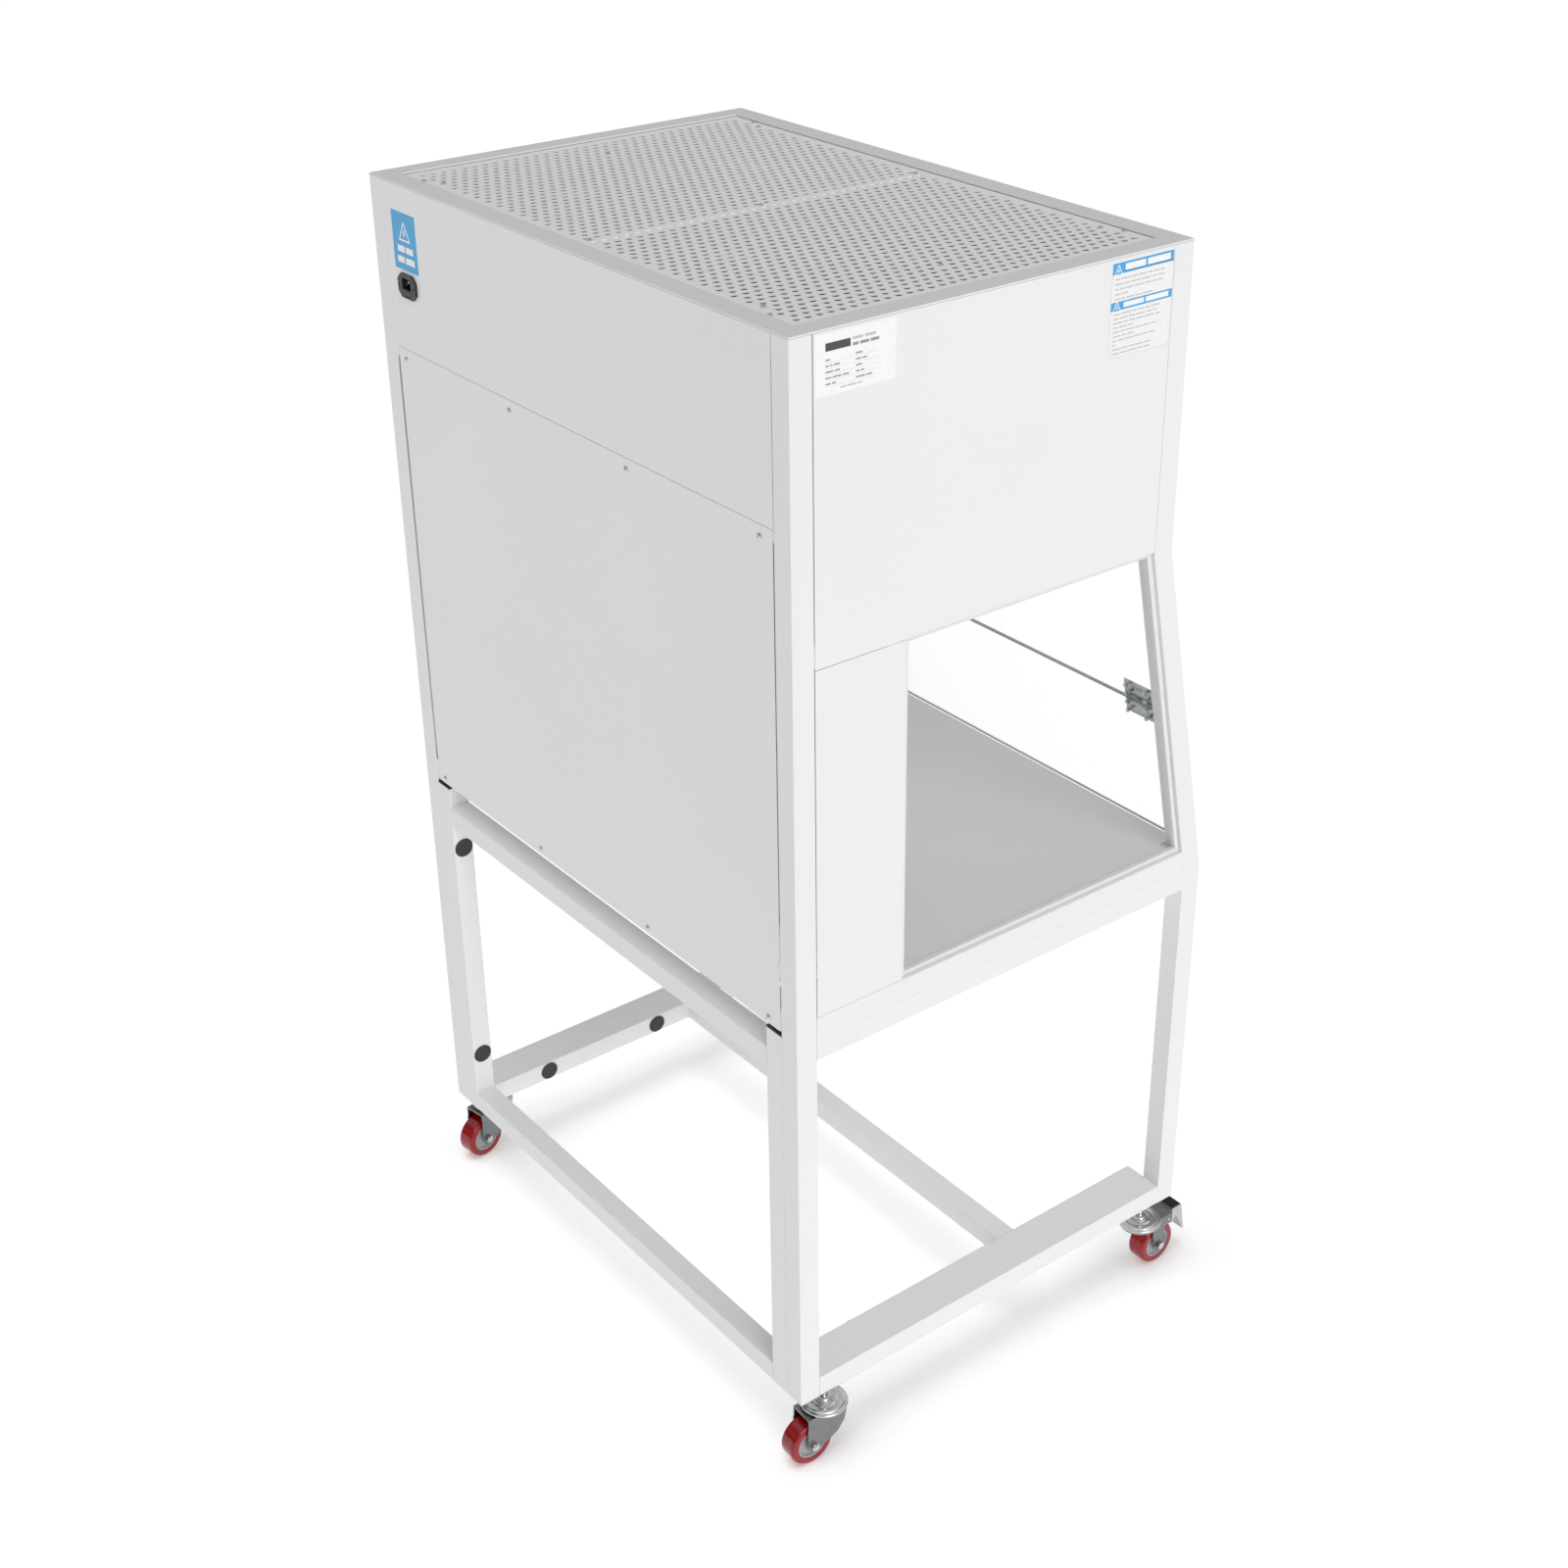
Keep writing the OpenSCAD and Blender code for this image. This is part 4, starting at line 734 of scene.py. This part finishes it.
def mains_sticker():
    """Blue sticker above the mains inlet, with a plain triangle and two blank bars."""
    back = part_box("back_panel_upper")[1].y
    sticker = Label((444 * MM, back, 1644 * MM), right=(-1, 0, 0), out=(0, 1, 0))
    wide, tall = 70, 87
    sticker.bar(0, 0, wide, tall, "white", 0)
    sticker.bar(0.8, 0.8, wide - 0.8, tall - 0.8, "blue")
    sticker.triangle(wide / 2, tall - 43, 33, 2.6, "white", "blue", 2)
    sticker.words(13, 27, (20, 21), 9.5, 3, "white", 2)
    sticker.words(11, 11, (19, 26), 9.5, 3.5, "white", 2)
    sticker.finish("mains_sticker")


# ---------------------------------------------------------------- castors, lamps and pads
RACEWAY_R = 36 * MM
CAP_PROFILE = [(36.3, 94.3), (37.0, 95.2), (37.2, 96.6), (36.6, 97.9), (35.2, 98.6), (33.6, 98.5),
               (32.6, 99.2), (31.6, 100.4), (30.0, 101.2), (27.8, 101.4), (25.6, 101.0), (24.4, 100.4),
               (21.6, 100.3), (20.4, 100.9), (19.0, 102.0), (17.2, 102.5), (15.6, 102.2), (14.6, 101.3),
               (13.6, 100.9), (12.6, 101.5), (12.2, 104.2), (11.4, 105.9), (9.8, 107.0), (8.0, 107.5),
               (6.2, 107.6)]                   # radius and height in millimetres, rim to stem
CAP_INSIDE = [(6.2, 100.1), (26.0, 100.1), (28.4, 97.2), (35.6, 97.1), (36.1, 96.0), (36.1, 94.3)]


def raceway_caps():
    """Pressed cap of each castor's raceway: rolled rim, ridges and a domed nut round the stem."""
    profile = [(r * MM, z * MM) for r, z in CAP_PROFILE + CAP_INSIDE]
    low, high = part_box("castor_stems")
    caps = Shape()
    for x in (low.x + RACEWAY_R, high.x - RACEWAY_R):
        for y in (low.y + RACEWAY_R, high.y - RACEWAY_R):
            caps.lathe(profile, (x, y, 0.0), steps=72)
    cap = caps.piece("raceway_caps", [FINISHES["zinc_steel"]], smooth_below=50)
    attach(cap, "cabinet")


LAMP_CAP_LENGTH = 22 * MM
LAMP_CAP_PROUD = 0.02 * MM                     # how far a cap's end face stands off the tube's
LAMP_CAP_STEPS = 48


def lamp_caps():
    """Aluminium end caps on the lamp tubes."""
    low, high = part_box("lamp_tubes")
    radius = (high.z - low.z) / 2
    turns = [2 * math.pi * i / LAMP_CAP_STEPS for i in range(LAMP_CAP_STEPS)]
    caps = Shape()
    for y in (low.y + radius, high.y - radius):
        for x, way in ((low.x, 1), (high.x, -1)):
            end, lip = x - way * LAMP_CAP_PROUD, x + way * LAMP_CAP_LENGTH
            rings = [(end, radius * 0.6), (end, radius * 1.012),
                     (lip, radius * 1.012), (lip, radius * 0.99)]
            points = [(along, y + r * math.cos(turn), low.z + radius + r * math.sin(turn))
                      for turn in turns for along, r in rings]
            faces = []
            for i in range(LAMP_CAP_STEPS):
                after = (i + 1) % LAMP_CAP_STEPS
                faces += [(i * 4 + k, i * 4 + k + 1, after * 4 + k + 1, after * 4 + k) for k in range(3)]
            caps.faces_on(points, faces if way > 0 else [face[::-1] for face in faces])
    piece = caps.piece("lamp_caps", [FINISHES["aluminium"]], smooth_below=40)
    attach(piece, "cabinet")


def joint_frame(name):
    """A joint's point and axis."""
    joint = next(j for j in frame["joints"] if j["name"] == name)
    return Vector(joint["pos_m"]), Vector(joint["axis"]).normalized()


PAD_LENGTH, PAD_HALF_WIDTH = 20.5 * MM, 15.5 * MM
PAD_REACH = 62.2 * MM                          # from the castor's swivel axis to the pad
PAD_Z = 95.5 * MM                              # top of the foot plate
PAD_UNDER, PAD_GROOVE, PAD_TOP = 0.1 * MM, 1.2 * MM, 2.2 * MM
PAD_RIBS = 5


def brake_pads():
    """Ribbed rubber pad on the top of each foot brake."""
    outline = [(0, PAD_UNDER), (PAD_LENGTH, PAD_UNDER)]
    for i in range(PAD_RIBS):
        outer = PAD_LENGTH - (i + 0.2) * PAD_LENGTH / PAD_RIBS
        inner = PAD_LENGTH - (i + 0.8) * PAD_LENGTH / PAD_RIBS
        outline += [(outer, PAD_GROOVE), (outer, PAD_TOP), (inner, PAD_TOP), (inner, PAD_GROOVE)]
    for side in ("left", "right"):
        pivot, axis = joint_frame(f"brake_{side}_press")
        swivel, _ = joint_frame(f"swivel_front_{side}_turn")
        forward = Vector((pivot.x - swivel.x, pivot.y - swivel.y, 0)).normalized()
        start = swivel + forward * PAD_REACH - axis * PAD_HALF_WIDTH
        start.z = PAD_Z
        pad = Shape()
        pad.prism(outline, lambda along, up: start + forward * along + UP * up, axis * (2 * PAD_HALF_WIDTH))
        piece = pad.piece(f"brake_pad_{side}", [RUBBER])
        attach(piece, f"brake_{side}")


# ---------------------------------------------------------------- CAD nodes
TUBES = ("stand_frame_left", "stand_frame_right", "stand_inner_frame", "cabinet_frame")
TUBE_ROUND, FORK_ROUND, SMALL_ROUND = 1.5, 0.9, 0.5
EASED = {                                      # millimetres of rounding, and the nodes that get it
    1.2: ("top_rim",),
    SMALL_ROUND: ("worktop", "inlet_housing", "fan_speed_knob", "stand_plugs", "power_switch",
                  "lamp_switch", "switch_bezels", "hepa_frame", "lamp_holders", "side_glass_left",
                  "side_glass_right"),
    0.35: ("side_panels", "back_panel_upper", "back_access_panel", "front_fascia", "glass_brackets",
           "fuse_drawer", "chamber_ceiling"),
}
CASTORS = ("rear_left", "rear_right", "front_left", "front_right")


def dress_nodes():
    """Gives every CAD node its finish and breaks the edges that catch the light."""
    for part in frame["record"]["subparts"]:
        mesh = NODES[part["node"]].data
        mesh.materials.clear()
        mesh.materials.append(FINISHES[part["material_slot"]])
    for castor in CASTORS:
        NODES[f"fork_{castor}"].data.materials[0] = PRESSED_ZINC
    for node in ("front_glass_upper", "front_flap_glass"):
        mesh = NODES[node].data
        mesh.materials.append(GLASS_EDGE)
        face = max(mesh.polygons, key=lambda polygon: polygon.area).normal
        rim = [int(abs(polygon.normal.dot(face)) < 0.5) for polygon in mesh.polygons]
        mesh.polygons.foreach_set("material_index", rim)
    for node in TUBES:
        ease_edges(node, TUBE_ROUND, segments=3, tubes=True)
    for width, nodes in EASED.items():
        for node in nodes:
            ease_edges(node, width)
    for castor in CASTORS:
        ease_edges(f"fork_{castor}", FORK_ROUND, segments=3)
        ease_edges(f"axle_{castor}", SMALL_ROUND)
    for side in ("left", "right"):
        ease_edges(f"brake_pedal_{side}", SMALL_ROUND)


# ---------------------------------------------------------------- studio
FLOOR_REACH = 40


def studio_floor():
    """A wide pale floor that stays near white."""
    white = Finish("studio_floor", (0.85, 0.85, 0.85), 1.0, Specular_IOR_Level=0.0)
    white.set("Emission Color", (1.0, 1.0, 1.0, 1.0))
    white.set("Emission Strength", 0.30)
    corners = [(x * FLOOR_REACH, y * FLOOR_REACH, 0) for x, y in ((-1, -1), (1, -1), (1, 1), (-1, 1))]
    floor = mesh_piece("floor", corners, [(0, 1, 2, 3)], [white.material])
    return floor


def sun(name, strength, direction, softness, lit=(), shut_out=(), casting=()):
    """A soft distant lamp, softness degrees wide. It lights only the objects lit, or all but those shut out.

    Only the objects casting throw a shadow in its light; with none named, all do.
    """
    light = bpy.data.lights.new(name, "SUN")
    light.energy = strength
    light.angle = math.radians(softness)
    lamp = bpy.data.objects.new(name, light)
    lamp.rotation_euler = Vector(direction).to_track_quat("Z", "Y").to_euler()
    bpy.context.scene.collection.objects.link(lamp)
    for use, members, state in (("receiver", lit, "INCLUDE"), ("receiver", shut_out, "EXCLUDE"),
                                ("blocker", casting, "INCLUDE")):
        if members:
            group = bpy.data.collections.new(f"{name}_{use}s")
            for member in members:
                group.objects.link(member)
            for link in group.collection_objects:
                link.light_linking.link_state = state
            setattr(lamp.light_linking, f"{use}_collection", group)


REFLECTED_BANDS = ((0.0, 0.10), (0.10, 0.08), (0.22, 0.14), (0.34, 0.55), (0.46, 0.16), (0.58, 0.22),
                   (0.72, 0.95), (0.90, 0.80), (1.0, 0.30))    # height in the room, and its grey
STAND_PREFIXES = ("stand_", "fork_", "tyre_", "hub_", "castor_", "brake_")


def surround():
    """An even white room; what shines mirrors light and dark bands instead."""
    world = bpy.data.worlds.new("studio")
    bpy.context.scene.world = world
    world.use_nodes = True
    tree = world.node_tree
    tree.nodes.remove(tree.nodes["Background"])
    room = Shading(tree)
    even = room.add("ShaderNodeBackground", {}, {"Color": (1.0, 1.0, 1.0, 1.0), "Strength": 0.40})
    height = room.add("ShaderNodeSeparateXYZ", {}, {0: room.add("ShaderNodeTexCoord")}, output="Z")
    stops = [(place, (grey, grey, grey)) for place, grey in REFLECTED_BANDS]
    mirrored = room.add("ShaderNodeBackground", {},
                        {"Color": room.add("ShaderNodeValToRGB", {"stops": stops}, {0: height})})
    glossy = room.add("ShaderNodeLightPath", output="Is Glossy Ray")
    either = room.add("ShaderNodeMixShader", {}, {0: glossy, 1: even, 2: mirrored})
    room.feed(tree.nodes["World Output"].inputs["Surface"], either)


def lamps(floor):
    """A key from the left, one overhead that grounds the stand, and fills for bench and stand."""
    stand = [NODES[node] for node in NODES if node.startswith(STAND_PREFIXES)]
    frames = [NODES[node] for node in TUBES if node.startswith("stand_")]
    bench = [NODES["worktop"]]
    sun("key", strength=1.35, direction=(-0.80, 0.12, 0.58), softness=35, shut_out=[floor])
    sun("overhead", strength=1.5, direction=(-0.04, 0.24, 1.0), softness=40, lit=[floor], casting=stand)
    sun("bench_fill", strength=0.85, direction=UP, softness=20, lit=bench, casting=bench)
    sun("stand_fill", strength=0.28, direction=UP, softness=20, lit=frames, casting=frames)


def camera():
    """Stands behind the bench to the left, above it, and looks down on it."""
    lens = bpy.data.cameras.new("camera")
    lens.sensor_width = 36.0
    lens.lens = 52.41
    lens.shift_x = -0.0299
    lens.shift_y = -0.0197
    lens.clip_end = 200.0
    eye = bpy.data.objects.new("camera", lens)
    spot = Vector((-2.5192, BACK_Y + 1.5395, 2.5830))
    target = Vector((-0.1974, BACK_Y - 0.3000, 1.00464))
    roll = Matrix.Rotation(math.radians(-0.197), 4, "Z")
    aim = (target - spot).to_track_quat("-Z", "Y").to_matrix().to_4x4()
    eye.matrix_world = Matrix.Translation(spot) @ aim @ roll
    bpy.context.scene.collection.objects.link(eye)
    bpy.context.scene.camera = eye


bpy.context.scene.view_settings.view_transform = "Standard"
camera()
surround()
lamps(studio_floor())
dress_nodes()
intake_grille()
prefilter_mats()
diffuser_sheet()
filter_pleats()
nameplate()
notice_label()
mains_sticker()
raceway_caps()
lamp_caps()
brake_pads()
